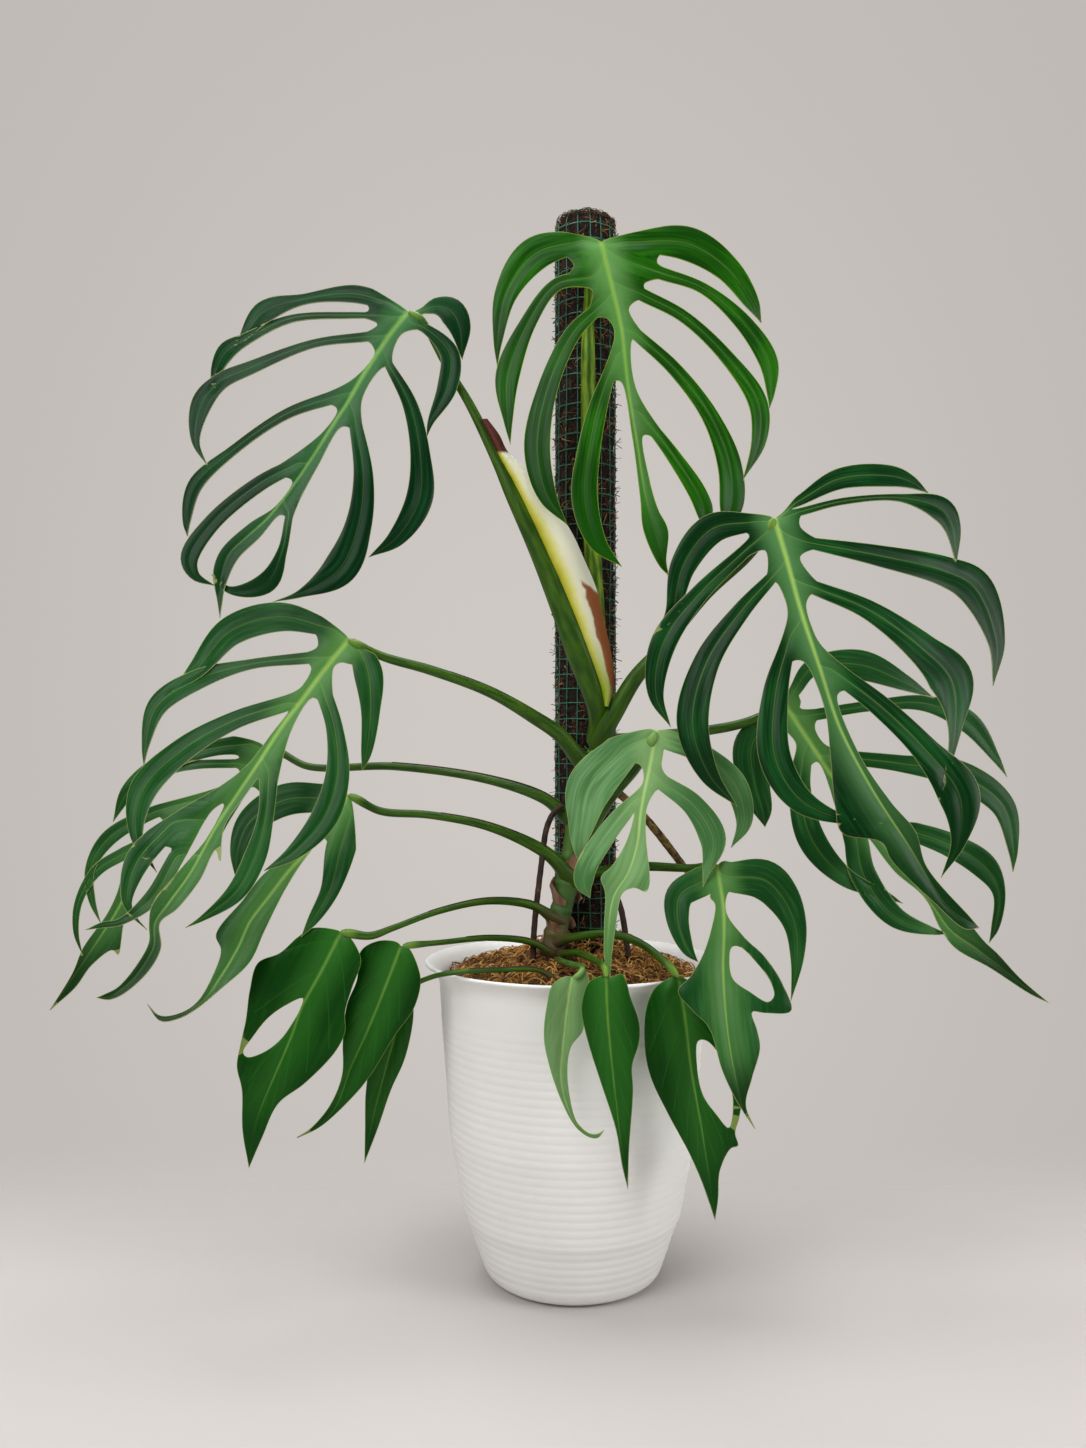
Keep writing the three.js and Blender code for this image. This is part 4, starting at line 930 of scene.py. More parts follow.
def thin_out(wanted, taken, gap):
    """Keeps wanted points that lie at least gap from those taken, and from each other."""
    cells = {}

    def cell(point):
        return int(point[0] // gap), int(point[1] // gap)

    def is_free(point):
        column, row = cell(point)
        around = (cells.get((column + i, row + j), ()) for i in (-1, 0, 1) for j in (-1, 0, 1))
        return all((other[0] - point[0]) ** 2 + (other[1] - point[1]) ** 2 >= gap * gap
                   for others in around for other in others)

    for point in taken:
        cells.setdefault(cell(point), []).append(point)
    kept = []
    for point in wanted:
        if is_free(point):
            cells.setdefault(cell(point), []).append(point)
            kept.append(point)
    return kept


def beside(line, gap):
    """Points on both sides of a line, gap away from it."""
    ways = directions(line)
    across = np.stack([-ways[:, 1], ways[:, 0]], -1)
    return np.concatenate([line + across * gap, line - across * gap])


def web_mesh(loop, holes, midrib, ribs, veins):
    """Points and triangles of the uncut middle of a leaf, inside loop and outside the holes."""
    points, edges = [], []

    def chain(line, closed=False, first=None, last=None):
        start = len(points)
        points.extend(line)
        order = list(range(start, start + len(line)))
        if first is not None:
            order.insert(0, first)
        if last is not None:
            order.append(last)
        edges.extend(zip(order, order[1:]))
        if closed:
            edges.append((order[-1], order[0]))
        return order

    chain(loop, closed=True)
    tip_at = int(np.linalg.norm(loop - midrib[-1], axis=1).argmin())
    middle = chain(midrib[1:-1], first=0, last=tip_at)
    for k, curve, at in ribs:
        chain(curve[1:-1], first=middle[min(k, len(middle) - 1)], last=at)
    for k, curve in veins:
        chain(curve[1:], first=middle[min(k, len(middle) - 1)])
    for hole in holes:
        chain(hole, closed=True)
    fixed = list(points)
    extra = []
    for gap in MIDRIB_GAPS:
        extra.extend(thin_out(beside(midrib, gap), fixed + extra, CLOSEST))
    for curve in [rib[1] for rib in ribs] + [vein[1] for vein in veins]:
        for gap in RIB_GAPS:
            extra.extend(thin_out(beside(curve, gap), fixed + extra, CLOSEST))
    low, high = loop.min(0), loop.max(0)
    rows = np.arange(low[1], high[1], WEB_STEP * 0.87)
    columns = np.arange(low[0], high[0], WEB_STEP)
    grid = [[u + WEB_STEP / 2 * (j % 2), v] for j, v in enumerate(rows) for u in columns]
    extra.extend(thin_out(np.array(grid), fixed + extra, WEB_STEP * 0.62))
    extra = np.array(extra)
    everything = np.concatenate([np.array(fixed), extra[on_blade(extra, loop, holes)]])
    result = delaunay_2d_cdt([Vector(p) for p in everything], edges, [], 0, 1e-5)
    made = np.array([list(p) for p in result[0]])
    for i, origin in enumerate(result[3]):
        if origin:
            made[i] = everything[origin[0]]
    faces = np.array([list(face) for face in result[2] if len(face) == 3])
    return made, faces[on_blade(made[faces].mean(1), loop, holes)]


def leaf_sheet(leaf):
    """The flat leaf in steps: its points, triangles and what each point knows about its place."""
    midrib = smooth_line(leaf["midrib"], FINGER_STEP)
    joint, tip = midrib[0], midrib[-1]
    left, left_fingers, left_edges = side_border(leaf["left"], joint, tip, True)
    right, right_fingers, right_edges = side_border(leaf["right"], joint, tip, False)
    loop = np.concatenate([left, right[::-1][1:-1]])
    ribs, rib_lines = [], []
    for number, finger in enumerate(left_fingers + right_fingers):
        k, curve = rib_to(midrib, finger)
        at = finger["at"] if number < len(left_fingers) else len(left) + len(right) - 2 - finger["at"]
        ribs.append((k, curve, at))
        rib_lines.append(curve)
    holes = [
        smooth_line(hole, EDGE_STEP, before=hole[-2], after=hole[1])[:-1]
        for hole in ([*leaf[key], leaf[key][0]] for key in ("window", "window_right") if key in leaf)
    ]
    veins = []
    for border, fingers in ((left, left_fingers), (right, right_fingers)):
        if not fingers:
            veins += whole_veins(midrib, border, loop, holes)
    points, faces = web_mesh(loop, holes, midrib, ribs, veins)
    lines = rib_lines or [midrib]
    rib, run = nearest(points, lines, [RIB_APART * i for i in range(len(lines))])
    away, down = nearest(points, [midrib])
    run = np.where(away < rib, down + 500, run)
    rib = np.minimum(rib, away)
    fine = nearest(points, [vein[1] for vein in veins])[0] if veins else np.full(len(points), FAR)
    parts = [{
        "points": points, "faces": faces.tolist(), "rib": rib, "run": run, "fine": fine,
        "reach": np.zeros(len(points)), "side": np.zeros(len(points)), "turn": np.zeros(len(points)),
    }]
    for number, finger in enumerate(left_fingers + right_fingers):
        grid, half = finger["grid"], finger["half"]
        rows, columns = grid.shape[:2]
        length = along_line(finger["middle"])
        before = along_line(rib_lines[number])[-1] + RIB_APART * number
        spread = np.ones((rows, columns))
        parts.append({
            "points": grid.reshape(-1, 2),
            "faces": grid_faces(np.arange(rows * columns).reshape(rows, columns)),
            "rib": (np.abs(COLUMNS) * half[:, None]).reshape(-1),
            "run": ((before + length)[:, None] * spread).reshape(-1),
            "reach": ((length / length[-1])[:, None] * spread).reshape(-1),
            "side": (COLUMNS * half[:, None]).reshape(-1),
            "turn": (number * spread).reshape(-1),
            "fine": np.full(rows * columns, FAR),
        })
    sheet = {key: np.concatenate([part[key] for part in parts]) for key in parts[0] if key != "faces"}
    start, all_faces = 0, []
    for part in parts:
        all_faces.extend([tuple(i + start for i in face) for face in part["faces"]])
        start += len(part["points"])
    window_edges = [np.concatenate([hole, hole[:1]]) for hole in holes]
    return weld(sheet, all_faces, midrib, left_edges + right_edges + window_edges)


def weld(sheet, faces, midrib, edges):
    """Joins points that lie on each other, turns all faces the same way and measures the rest."""
    _, first, back = np.unique(np.round(sheet["points"] * 500).astype(int), axis=0, return_index=True,
                               return_inverse=True)
    back = back.reshape(-1)
    sheet = {key: value[first] for key, value in sheet.items()}
    points = sheet["points"]
    turned = []
    for face in faces:
        face = [int(back[i]) for i in face]
        face = [i for k, i in enumerate(face) if i != face[k - 1]]
        if len(set(face)) < 3:
            continue
        x, y = points[face, 0], points[face, 1]
        area = float((x * np.roll(y, -1) - np.roll(x, -1) * y).sum())
        if abs(area) > 1e-4:
            turned.append(tuple(face) if area < 0 else tuple(face[::-1]))
    sheet["faces"] = turned
    sheet["away"], sheet["down"] = nearest(points, [midrib])
    sheet["length"] = along_line(midrib)[-1]
    sheet["edge"], _ = nearest(points, [np.asarray(edge) for edge in edges])
    return sheet


def blade_depth(leaf, sheet, midrib_start, seed):
    """Depth in millimetres at each point of the flat leaf: lean, droop, troughs, puffs and swells."""
    draw = np.random.default_rng(seed)
    u, v = sheet["points"].T
    away, rib, edge = sheet["away"], sheet["rib"], sheet["edge"]
    depth = leaf["y"] + leaf["lean_u"] * (u - midrib_start[0]) + leaf["lean_v"] * (v - midrib_start[1])
    depth = depth + leaf["droop"] * away ** 2 - TROUGH * TROUGH_REACH * (1 - np.exp(-away / TROUGH_WIDTH))
    valley = np.minimum(rib, away)
    depth = depth - PUFF * (1 - np.exp(-(valley / PUFF_REACH) ** 1.3)) + PUFF * 0.5
    depth = depth + EDGE_ROLL * np.exp(-edge / EDGE_REACH)
    depth = depth + VEIN_DIP * np.exp(-(sheet["fine"] / VEIN_WIDTH) ** 2)
    twist = draw.uniform(-TWIST, TWIST, MOST_FINGERS)
    reach = sheet["reach"]
    depth = depth + twist[sheet["turn"].astype(int)] * sheet["side"] * np.minimum(reach * 2, 1)
    depth = depth + TIP_CURL * np.maximum(reach - CURL_FROM, 0) ** 2 / CURL_SPAN
    flat = np.stack([u, v, 0 * u], -1)
    return depth + SWELL * ripple(flat, SWELL_SIZE, seed)


def add_blade(work, leaf, seed, skin, thickness):
    """Adds a leaf's blade with its raised ribs, front, back and rim, to the work."""
    sheet = leaf_sheet(leaf)
    start = leaf["midrib"][0]
    depth = blade_depth(leaf, sheet, start, seed)
    places = seen(sheet["points"][:, 0], sheet["points"][:, 1], depth)
    faces = sheet["faces"]
    normals = np.zeros_like(places)
    triangles = np.array([(face[0], face[k], face[k + 1]) for face in faces for k in range(1, len(face) - 1)])
    a, b, c = (places[triangles[:, k]] for k in range(3))
    lean = np.cross(b - a, c - a)
    for k in range(3):
        np.add.at(normals, triangles[:, k], lean)
    normals = to_front(normals)
    fade = np.clip(1 - 0.8 * sheet["down"] / sheet["length"], 0.15, 1)
    mid = sheet["away"] / (MIDRIB_WIDTH * fade * min(1, max(0.45, sheet["length"] / FULL_LENGTH)))
    thin = 1 - 0.6 * sheet["reach"]
    ridge = np.exp(-mid ** 2)
    rib = np.exp(-(sheet["rib"] / (RIB_WIDTH * thin)) ** 2)
    half = thickness / 2
    front = places + normals * (half + fade * MIDRIB_FRONT * ridge + RIB_FRONT * thin * rib)[:, None]
    back = places - normals * (half + fade * MIDRIB_BACK * ridge + RIB_BACK * thin * rib)[:, None]
    count = len(places)
    around = {}
    for face in faces:
        around.update(dict.fromkeys(zip(face, face[1:] + face[:1])))
    rim = [(p, q) for (p, q) in around if (q, p) not in around]
    known = {key: sheet[key] for key in ("rib", "run", "edge", "reach", "away", "fine")}
    known.update(mid=np.minimum(mid, 8), fade=fade)
    work.add(np.concatenate([front, back]), shell_faces(faces, rim, count), skin,
             back=np.repeat([0, 1], count), **{key: np.tile(value, 2) for key, value in known.items()})


PETIOLE_STEP = 4.0
PETIOLE_SIDES = 16
KNUCKLE_LENGTH = 16
KNUCKLE_SWELL = 0.22
BASE_FLARE = 0.55
BASE_REACH = 17
WOODY_ABOVE = 870


def add_petiole(work, leaf, skin):
    """Adds a leaf's stalk, clasping the stem at its base and swollen into a knuckle below the blade."""
    line = plant_line(leaf["petiole"], PETIOLE_STEP)
    length = along_line(line, 3)
    left = length[-1] - length
    knuckle = np.exp(-((left - KNUCKLE_LENGTH * 0.6) / (KNUCKLE_LENGTH * 0.5)) ** 2)
    line[:, 3] *= 1 + KNUCKLE_SWELL * knuckle
    line[:, 3] *= 1 + BASE_FLARE * np.exp(-(length / BASE_REACH) ** 2)
    line[-1, 3] *= 0.6
    points = rings_of(line, PETIOLE_SIDES)
    rows = len(line)
    around = np.tile(np.arange(PETIOLE_SIDES) / PETIOLE_SIDES, rows)
    woody = np.clip((leaf["petiole"][0][1] - WOODY_ABOVE) / 60, 0.1, 1)
    foot = woody * np.exp(-(length / 24) ** 2)
    work.add(points, ring_faces(rows, PETIOLE_SIDES), skin, foot=np.repeat(foot, PETIOLE_SIDES),
             run=np.repeat(length, PETIOLE_SIDES), left=np.repeat(left, PETIOLE_SIDES), round=around)


DRY_MARGINS = ("leaf_left_behind", "leaf_left_inner", "leaf_lower_left_outer", "leaf_lower_left_middle",
               "leaf_left_middle", "leaf_lower_left_inner")
MARGIN_RADIUS = 0.8
MARGIN_SHARE = 0.62


def add_margin(work, leaf, skin):
    """Adds the thin dry margin that an old sheath leaves along the upper side of a stalk."""
    line = plant_line(leaf["petiole"], PETIOLE_STEP)
    line = line[2:int(MARGIN_SHARE * len(line))]
    away = line[:, 3] * np.linspace(1.15, 1.0, len(line))
    line = line + np.column_stack([0 * away, -0.35 * away, 0.9 * away, MARGIN_RADIUS - line[:, 3]])
    work.add(rings_of(line, 6), ring_faces(len(line), 6), skin)


def add_sheath(work, skin):
    """Adds the winged sheath of the long upper petiole: a curled sheet with a dry tip."""
    stalk = smooth_line(LEAVES["leaf_upper_left"]["petiole"], SHEATH_STEP)[::-1]
    rows = np.array([[0, *row] for row in SHEATH], float)
    rows[:, 0] = np.interp(rows[:, 1], stalk[:, 1], stalk[:, 0] + SHEATH_SEAT * stalk[:, 3])
    line = smooth_line(rows, SHEATH_STEP)
    across = np.linspace(0, 1, SHEATH_COLUMNS)
    curl = 4 * across * (1 - across)
    depth = SHEATH_INNER + (SHEATH_OUTER - SHEATH_INNER) * across
    depth = depth + (SHEATH_BULGE - (SHEATH_INNER + SHEATH_OUTER) / 2) * curl
    u = line[:, 0, None] + (line[:, 2] - line[:, 0])[:, None] * across
    v = line[:, 1, None] + (line[:, 3] - line[:, 1])[:, None] * across
    wave = SHEATH_WAVE * np.sin(line[:, 1] * 0.11)[:, None] * across
    places = seen(u, v, depth + wave + 0 * u)
    count, columns = u.shape
    points = places.reshape(-1, 3)
    normals = to_front(np.cross(np.gradient(places, axis=0), np.gradient(places, axis=1)).reshape(-1, 3))
    shell = np.concatenate([points + normals * SHEATH_HALF, points - normals * SHEATH_HALF])
    share = np.repeat(np.linspace(0, 1, count), columns)
    work.add(shell, grid_shell(count, columns), skin, down=np.tile(share, 2), side=np.tile(across, 2 * count))


# Pot, mix and pole

POT_SEGMENTS = 144
RIB_FIRST = 10
RIB_LAST = 254
RIB_COUNT = 31
RIB_DEPTH = 0.45
RIB_ROWS = 6
POT_WOBBLE = 0.05
MIX_GAP = 0.4


def pot_radius(z):
    """Outer radius of the pot at a height, without its ribs."""
    rows = np.array(POT_PROFILE, float)
    return np.interp(z, rows[:, 1], rows[:, 0])


def pot_work(rib_count, rib_depth):
    """The ribbed planter as one closed turned wall with a slim flared rim, its ribs a little uneven."""
    outer = [[0.5, 0], [66, 0], [71, 0.4], [76, 1.6], [80, 3.4], [82.6, 5.6], [84.4, 8]]
    heights = np.linspace(RIB_FIRST, RIB_LAST, rib_count * RIB_ROWS + 1)
    phase = (heights - RIB_FIRST) / (RIB_LAST - RIB_FIRST) * rib_count
    relief = np.abs(np.sin(math.pi * phase)) ** 0.8 * rib_depth
    ribbed = np.stack([pot_radius(heights) + relief, heights], -1)
    plain = [[pot_radius(z), z] for z in (257, 262, 268, 275)]
    lip = smooth_line([[127.9, 280], [129.2, 286.5], *LIP, [123.9, 275]], 1.2)
    inner = [[pot_radius(z) - POT_WALL, z] for z in (260, 240, 197, 140, 100, 63, 32)]
    inner += [[pot_radius(POT_FLOOR) - POT_WALL, POT_FLOOR], [0.5, POT_FLOOR]]
    profile = np.concatenate([outer, ribbed, plain, lip, inner])
    points, faces = lathe(profile, POT_SEGMENTS)
    z = points[:, 2]
    r = np.hypot(points[:, 0], points[:, 1])
    outside = (z > 9) & (z < 256) & (r > pot_radius(z) - 1)
    turn = np.arctan2(points[:, 1], points[:, 0])
    wobble = ripple(np.stack([60 * np.cos(turn), 60 * np.sin(turn), z * 1.6], -1), 26, 3)
    points[:, :2] *= (1 + np.where(outside, POT_WOBBLE * wobble, 0) / np.maximum(r, 1))[:, None]
    return one_body(points, faces)


def mix_height(x, y):
    """Height of the mounded mix at a place."""
    rows = np.array(MIX_TOP, float)
    return np.interp(np.hypot(x, y), rows[:, 0], rows[:, 1])


def mix_work():
    """The filled mix as one closed body with a lumpy top."""
    gap = POT_WALL + MIX_GAP
    wall = [[0.5, POT_FLOOR + MIX_GAP], [pot_radius(POT_FLOOR) - gap, POT_FLOOR + MIX_GAP]]
    wall += [[pot_radius(z) - gap, z] for z in (32, 63, 100, 140, 197, 250, 270)]
    radii = np.concatenate([[121.0, 120.6], np.linspace(119, 2, 60), [0.5]])
    top = np.stack([radii, mix_height(radii, 0 * radii)], -1)
    top[0] = [121.2, 280]
    points, faces = lathe(np.concatenate([wall, top]), 128)
    r = np.hypot(points[:, 0], points[:, 1])
    high = (points[:, 2] > 275) & (r < 119.5)
    lumps = 1.6 * ripple(points, 9, 5) + 1.1 * ripple(points, 4, 6)
    points[:, 2] += np.where(high, lumps, 0)
    return one_body(points, faces)


CHIPS = 420
COIR_STRANDS = 1700
HEAPED_STRANDS = 650
HEAP_REACH = 34
HEAP_HEIGHT = 20
LITTER_REACH = 113
STRAND_REACH = 118


def mix_litter_work():
    """Bark chips and curled coir strands that lie on the mix, heaped round the foot of the pole."""
    draw = np.random.default_rng(41)
    work = Work()
    for _ in range(CHIPS):
        far = math.sqrt(draw.uniform(0.02, 1)) * LITTER_REACH
        turn = draw.uniform(0, 2 * math.pi)
        x, y = far * math.cos(turn), far * math.sin(turn)
        size = draw.uniform(1.8, 5.0) * (1.3 if draw.random() < 0.15 else 1)
        turns = circle(6) + draw.uniform(0, 2 * math.pi)
        tilt = draw.uniform(-0.7, 0.7, 2)
        points = []
        for k, wide in enumerate((0.5, 1, 0.85)):
            reach = size * wide * (1 + draw.uniform(-0.25, 0.25, 6))
            flat = np.stack([reach * np.cos(turns), reach * 0.55 * np.sin(turns)], -1)
            height = (k - 1) * size * 0.16 + flat[:, 0] * tilt[0] + flat[:, 1] * tilt[1]
            points.append(np.column_stack([flat, height]))
        z = mix_height(x, y) + draw.uniform(-0.3, 2.0)
        work.add(np.concatenate(points) + [x, y, z], ring_faces(3, 6), tone=draw.random())
    t = np.linspace(0, 1, 8)
    for number in range(COIR_STRANDS + HEAPED_STRANDS):
        turn = draw.uniform(0, 2 * math.pi)
        heading = draw.uniform(0, 2 * math.pi)
        if number >= COIR_STRANDS:
            far = POLE_RADIUS + abs(draw.normal(0, HEAP_REACH * 0.5))
            x, y = POLE_X + far * math.cos(turn), POLE_Y + far * math.sin(turn)
            heading = turn + math.pi / 2 + draw.normal(0, 0.7)
            rise = HEAP_HEIGHT * math.exp(-((far - POLE_RADIUS) / HEAP_REACH) ** 2 * 2) * draw.uniform(0.1, 1)
        else:
            far = math.sqrt(draw.uniform(0.02, 1)) * LITTER_REACH
            x, y = far * math.cos(turn), far * math.sin(turn)
            rise = draw.uniform(0, 5.0)
        length = draw.uniform(10, 26)
        angle = heading + draw.uniform(-3.6, 3.6) * t
        x = x + np.cumsum(np.cos(angle)) * length / 8
        y = y + np.cumsum(np.sin(angle)) * length / 8
        shrink = np.minimum(1, STRAND_REACH / np.maximum(np.hypot(x, y), 1))
        x, y = x * shrink, y * shrink
        z = mix_height(x, y) + 1.0 + rise + draw.uniform(0.5, 6.0) * np.sin(math.pi * t)
        add_strand(work, x, y, z, draw.uniform(0.3, 0.7), draw.random(), 1)
    return work


CORE_SIDES = 110
CORE_ROWS = 330
CORE_SHRINK = 0.22


def core_work():
    """The coir core of the pole: one closed column with a rough felted face."""
    heights = np.concatenate([[22, 120, 230], np.linspace(255, POLE_TOP - 1, CORE_ROWS)])
    around = np.stack([np.cos(circle(CORE_SIDES)), np.sin(circle(CORE_SIDES))], -1)
    points = []
    for z in heights:
        core = (POLE_RADIUS - 1.6) * (1 - CORE_SHRINK * max(0, (z - POLE_TOP + 10) / 10) ** 2)
        points.append(np.column_stack([[POLE_X, POLE_Y] + core * around, np.full(CORE_SIDES, z)]))
    points = np.concatenate(points)
    rough = 0.9 * ripple(points * [1, 1, 0.55], 7, 8) + 0.8 * ripple(points, 3.1, 9)
    rough = rough + 0.5 * ripple(points, 14, 10)
    out = unit(points[:, :2] - [POLE_X, POLE_Y])
    points[:, :2] += out * np.where(points[:, 2] > 250, rough - 0.6, -0.3)[:, None]
    return one_body(points, ring_faces(len(heights), CORE_SIDES))


CORE_STRANDS = 5300
STANDING_SHARE = 0.55
TUFT_STRANDS = 520


def strands_work():
    """Loose coir strands that lie on the pole, poke out through its net and tuft over its top."""
    draw = np.random.default_rng(77)
    work = Work()
    t = np.linspace(0, 1, 6)
    for _ in range(CORE_STRANDS):
        z = draw.uniform(285, POLE_TOP - 6)
        turn = draw.uniform(0, 2 * math.pi)
        heading = draw.uniform(0, 2 * math.pi)
        standing = draw.random() < STANDING_SHARE
        length = draw.uniform(4, 13) if standing else draw.uniform(6, 20)
        angle = heading + draw.uniform(-1.8, 1.8) * t
        side = np.cumsum(np.cos(angle)) * length / 6
        lift = np.cumsum(np.sin(angle)) * length / 6
        out = POLE_RADIUS - 1.8 + 2.0 * np.sin(math.pi * t) + draw.uniform(-0.6, 0.6)
        if standing:
            clump = 1 + noise.noise(Vector((3 * math.cos(turn), 3 * math.sin(turn), z / 14)))
            out = POLE_RADIUS - 2.5 + (t ** 1.2) * draw.uniform(2.5, 6.5) * clump
            side, lift = side * 0.8, lift * 0.8
        around = turn + side / POLE_RADIUS
        height = np.clip(z + lift, 280, POLE_TOP - 5)
        add_strand(work, POLE_X + out * np.cos(around), POLE_Y + out * np.sin(around), height,
                   draw.uniform(0.2, 0.48), draw.random())
    for _ in range(TUFT_STRANDS):
        far = POLE_RADIUS * math.sqrt(draw.random())
        turn = draw.uniform(0, 2 * math.pi)
        angle = draw.uniform(0, 2 * math.pi) + draw.uniform(-2, 2) * t
        x = far * math.cos(turn) + np.cumsum(np.cos(angle)) * 3.4
        y = far * math.sin(turn) + np.cumsum(np.sin(angle)) * 3.4
        shrink = np.minimum(1, (POLE_RADIUS - 1) / np.maximum(np.hypot(x, y), 1))
        z = POLE_TOP - 2 + draw.uniform(0, 6) * np.sin(math.pi * t)
        z = z - 6 * (np.hypot(x, y) * shrink / POLE_RADIUS) ** 4
        add_strand(work, POLE_X + x * shrink, POLE_Y + y * shrink, z,
                   draw.uniform(0.2, 0.45), draw.random() * 0.7)
    return work


NET_BOTTOM = 262
DOME_HEIGHT = 13
DOME_SHRINK = 0.2
NET_UPRIGHTS = 16
NET_PITCH = 14.5
NET_WIRE = 0.6
NET_SIDES = 5
NET_STEPS = 72


def net_place(turn, z):
    """A point of the net: a little out of round and sagging, the same for both wires that cross there."""
    x, y = np.cos(turn), np.sin(turn)
    probe = np.stack([x * 30, y * 30, z], -1)
    radius = POLE_RADIUS - 0.4 + 0.9 * ripple(probe, 34, 21)
    radius = radius * (1 - DOME_SHRINK * np.clip((z - POLE_TOP + DOME_HEIGHT) / DOME_HEIGHT, 0, 1) ** 2)
    height = z + 1.7 * ripple(probe, 27, 22) * np.where(z < NET_BOTTOM + 8, 0, 1)
    return np.stack([POLE_X + radius * x, POLE_Y + radius * y, np.minimum(height, POLE_TOP + 1)], -1)


def net_work(pitch):
    """The plastic-coated wire net: upright wires and the rings that cross them, drawn in over the top."""
    work = Work()
    steps = np.full(NET_STEPS, 1.0)
    for k in range(int((POLE_TOP - NET_BOTTOM) / pitch) + 1):
        places = net_place(circle(NET_STEPS), steps * (POLE_TOP - 1 - k * pitch))
        line = np.column_stack([places, steps * NET_WIRE])
        points = rings_of(np.concatenate([line[-1:], line, line[:1]]), NET_SIDES)[NET_SIDES:-NET_SIDES]
        work.add(points, ring_faces(NET_STEPS, NET_SIDES, closed=True))
    heights = np.arange(NET_BOTTOM, POLE_TOP, 5.0)
    for k in range(NET_UPRIGHTS):
        turn = 2 * math.pi * (k + 0.25) / NET_UPRIGHTS
        drift = 0.06 * ripple(np.stack([0 * heights + k * 40, 0 * heights, heights], -1), 90, 23)
        places = net_place(turn + drift, heights)
        line = np.column_stack([places, np.full(len(heights), NET_WIRE)])
        work.add(rings_of(line, NET_SIDES), ring_faces(len(heights), NET_SIDES))
    return work


# Rings that old leaves left on the stem: height and swelling
SCARS = ((330, 1.5), (352, 1.2), (378, 1.6), (402, 1.1), (430, 1.4), (458, 1.0), (482, 1.2))
SCAR_WIDTH = 3.2
# Old sheath scales on the stem: u, v, depth, radius, height, turn and sweep
SCALES = (
    (566, 904, -24, 11.5, 25, 2.4, 4.6), (561, 930, -25, 12.5, 20, 2.6, 4.2),
    (555, 956, -26, 14, 24, 1.2, 3.6), (556, 976, -26, 15, 22, -0.6, 3.8),
    (572, 872, -22, 11, 20, -1.2, 2.6), (586, 806, -20, 10.5, 22, 2.2, 2.6),
)
SCALE_THICKNESS = 0.5


def add_scale(work, u, v, y, radius, height, turn, sweep):
    """One old papery sheath scale: an open flared collar round the stem, torn along its upper edge."""
    columns, rows = 15, 6
    base = seen(u, v, y)
    angles = turn + sweep * np.linspace(-0.5, 0.5, columns)
    up = np.linspace(0, 1, rows)[:, None]
    taper = np.sqrt(np.clip(1 - (2 * np.linspace(0, 1, columns) - 1) ** 2, 0.05, 1))
    tall = height * taper * (0.85 + 0.15 * np.cos(angles * 5 + u))
    shells = []
    for offset in (SCALE_THICKNESS, 0):
        reach = radius + 0.6 + 3.2 * up ** 2 + offset
        x, y_out = base[0] + reach * np.cos(angles), base[1] + reach * np.sin(angles)
        shells.append(np.stack([x, y_out, base[2] + up * tall], -1).reshape(-1, 3))
    work.add(np.concatenate(shells), grid_shell(rows, columns), 1)


def stem_work():
    """The climbing stem: ringed with old leaf scars, knotted at the foot and wrapped in old scales."""
    line = plant_line(STEM, 2.0)
    z = line[:, 2]
    for scar, swell in SCARS:
        line[:, 3] += swell * np.exp(-((z - scar) / SCAR_WIDTH) ** 2)
    foot = np.clip((345 - z) / 40, 0, 1)
    sides = 28
    points = rings_of(line, sides)
    knots = 2.2 * ripple(points, 9, 31) * np.repeat(foot, sides) + 0.35 * ripple(points, 5, 32)
    work = one_body(pushed_out(points, line, sides, knots), ring_faces(len(line), sides))
    for scale in SCALES:
        add_scale(work, *scale)
    return work


def root_work(name):
    """An aerial root: a bumpy cord."""
    line = plant_line(ROOTS[name], 2.0)
    sides = 12
    points = rings_of(line, sides)
    bumps = 0.3 * ripple(points, 4, 35)
    return one_body(pushed_out(points, line, sides, bumps), ring_faces(len(line), sides))


# Materials

def linear(colour):
    """Linear red, green, blue and alpha of an sRGB hex colour."""
    channels = [int(colour[i:i + 2], 16) / 255 for i in (1, 3, 5)]
    return (*(c / 12.92 if c <= 0.04045 else ((c + 0.055) / 1.055) ** 2.4 for c in channels), 1.0)


def add_node(tree, kind, settings=None, inputs=None):
    """Adds a node, gives it its settings, and links or sets its inputs; a node stands for its own result."""
    node = tree.nodes.new(kind)
    count = len(tree.nodes)
    node.location = (180 * (count % 8) - 1500, 260 * (count // 8) - 900)
    for name, value in (settings or {}).items():
        if name == "stops":
            ramp = node.color_ramp.elements
            while len(ramp) < len(value):
                ramp.new(0.5)
            for element, (place, colour) in zip(ramp, value):
                element.position = place
                element.color = linear(colour)
        else:
            setattr(node, name, value)
    for key, value in (inputs or {}).items():
        if isinstance(value, bpy.types.Node):
            value = value.outputs[2 if value.bl_idname == "ShaderNodeMix" else 0]
        if isinstance(value, bpy.types.NodeSocket):
            tree.links.new(value, node.inputs[key])
        else:
            node.inputs[key].default_value = value
    return node


def new_material(name, roughness, ior=1.45, **constants):
    """An empty material with one Principled surface, its plain numbers set on its own sockets."""
    material = bpy.data.materials.new(name)
    material.use_nodes = True
    tree = material.node_tree
    tree.nodes.clear()
    plain = {"Roughness": roughness, "IOR": ior, **constants}
    surface = add_node(tree, "ShaderNodeBsdfPrincipled", inputs=plain)
    add_node(tree, "ShaderNodeOutputMaterial", inputs={"Surface": surface})
    return material, tree, surface


SMOOTH = {"interpolation_type": "SMOOTHSTEP"}
COLOURS = {"data_type": "RGBA"}
TIMES = {"operation": "MULTIPLY"}
PLUS = {"operation": "ADD"}
LEAF_SHEEN = 0.13
RIB_GLOW = 0.09
RIB_STRENGTH = 0.18


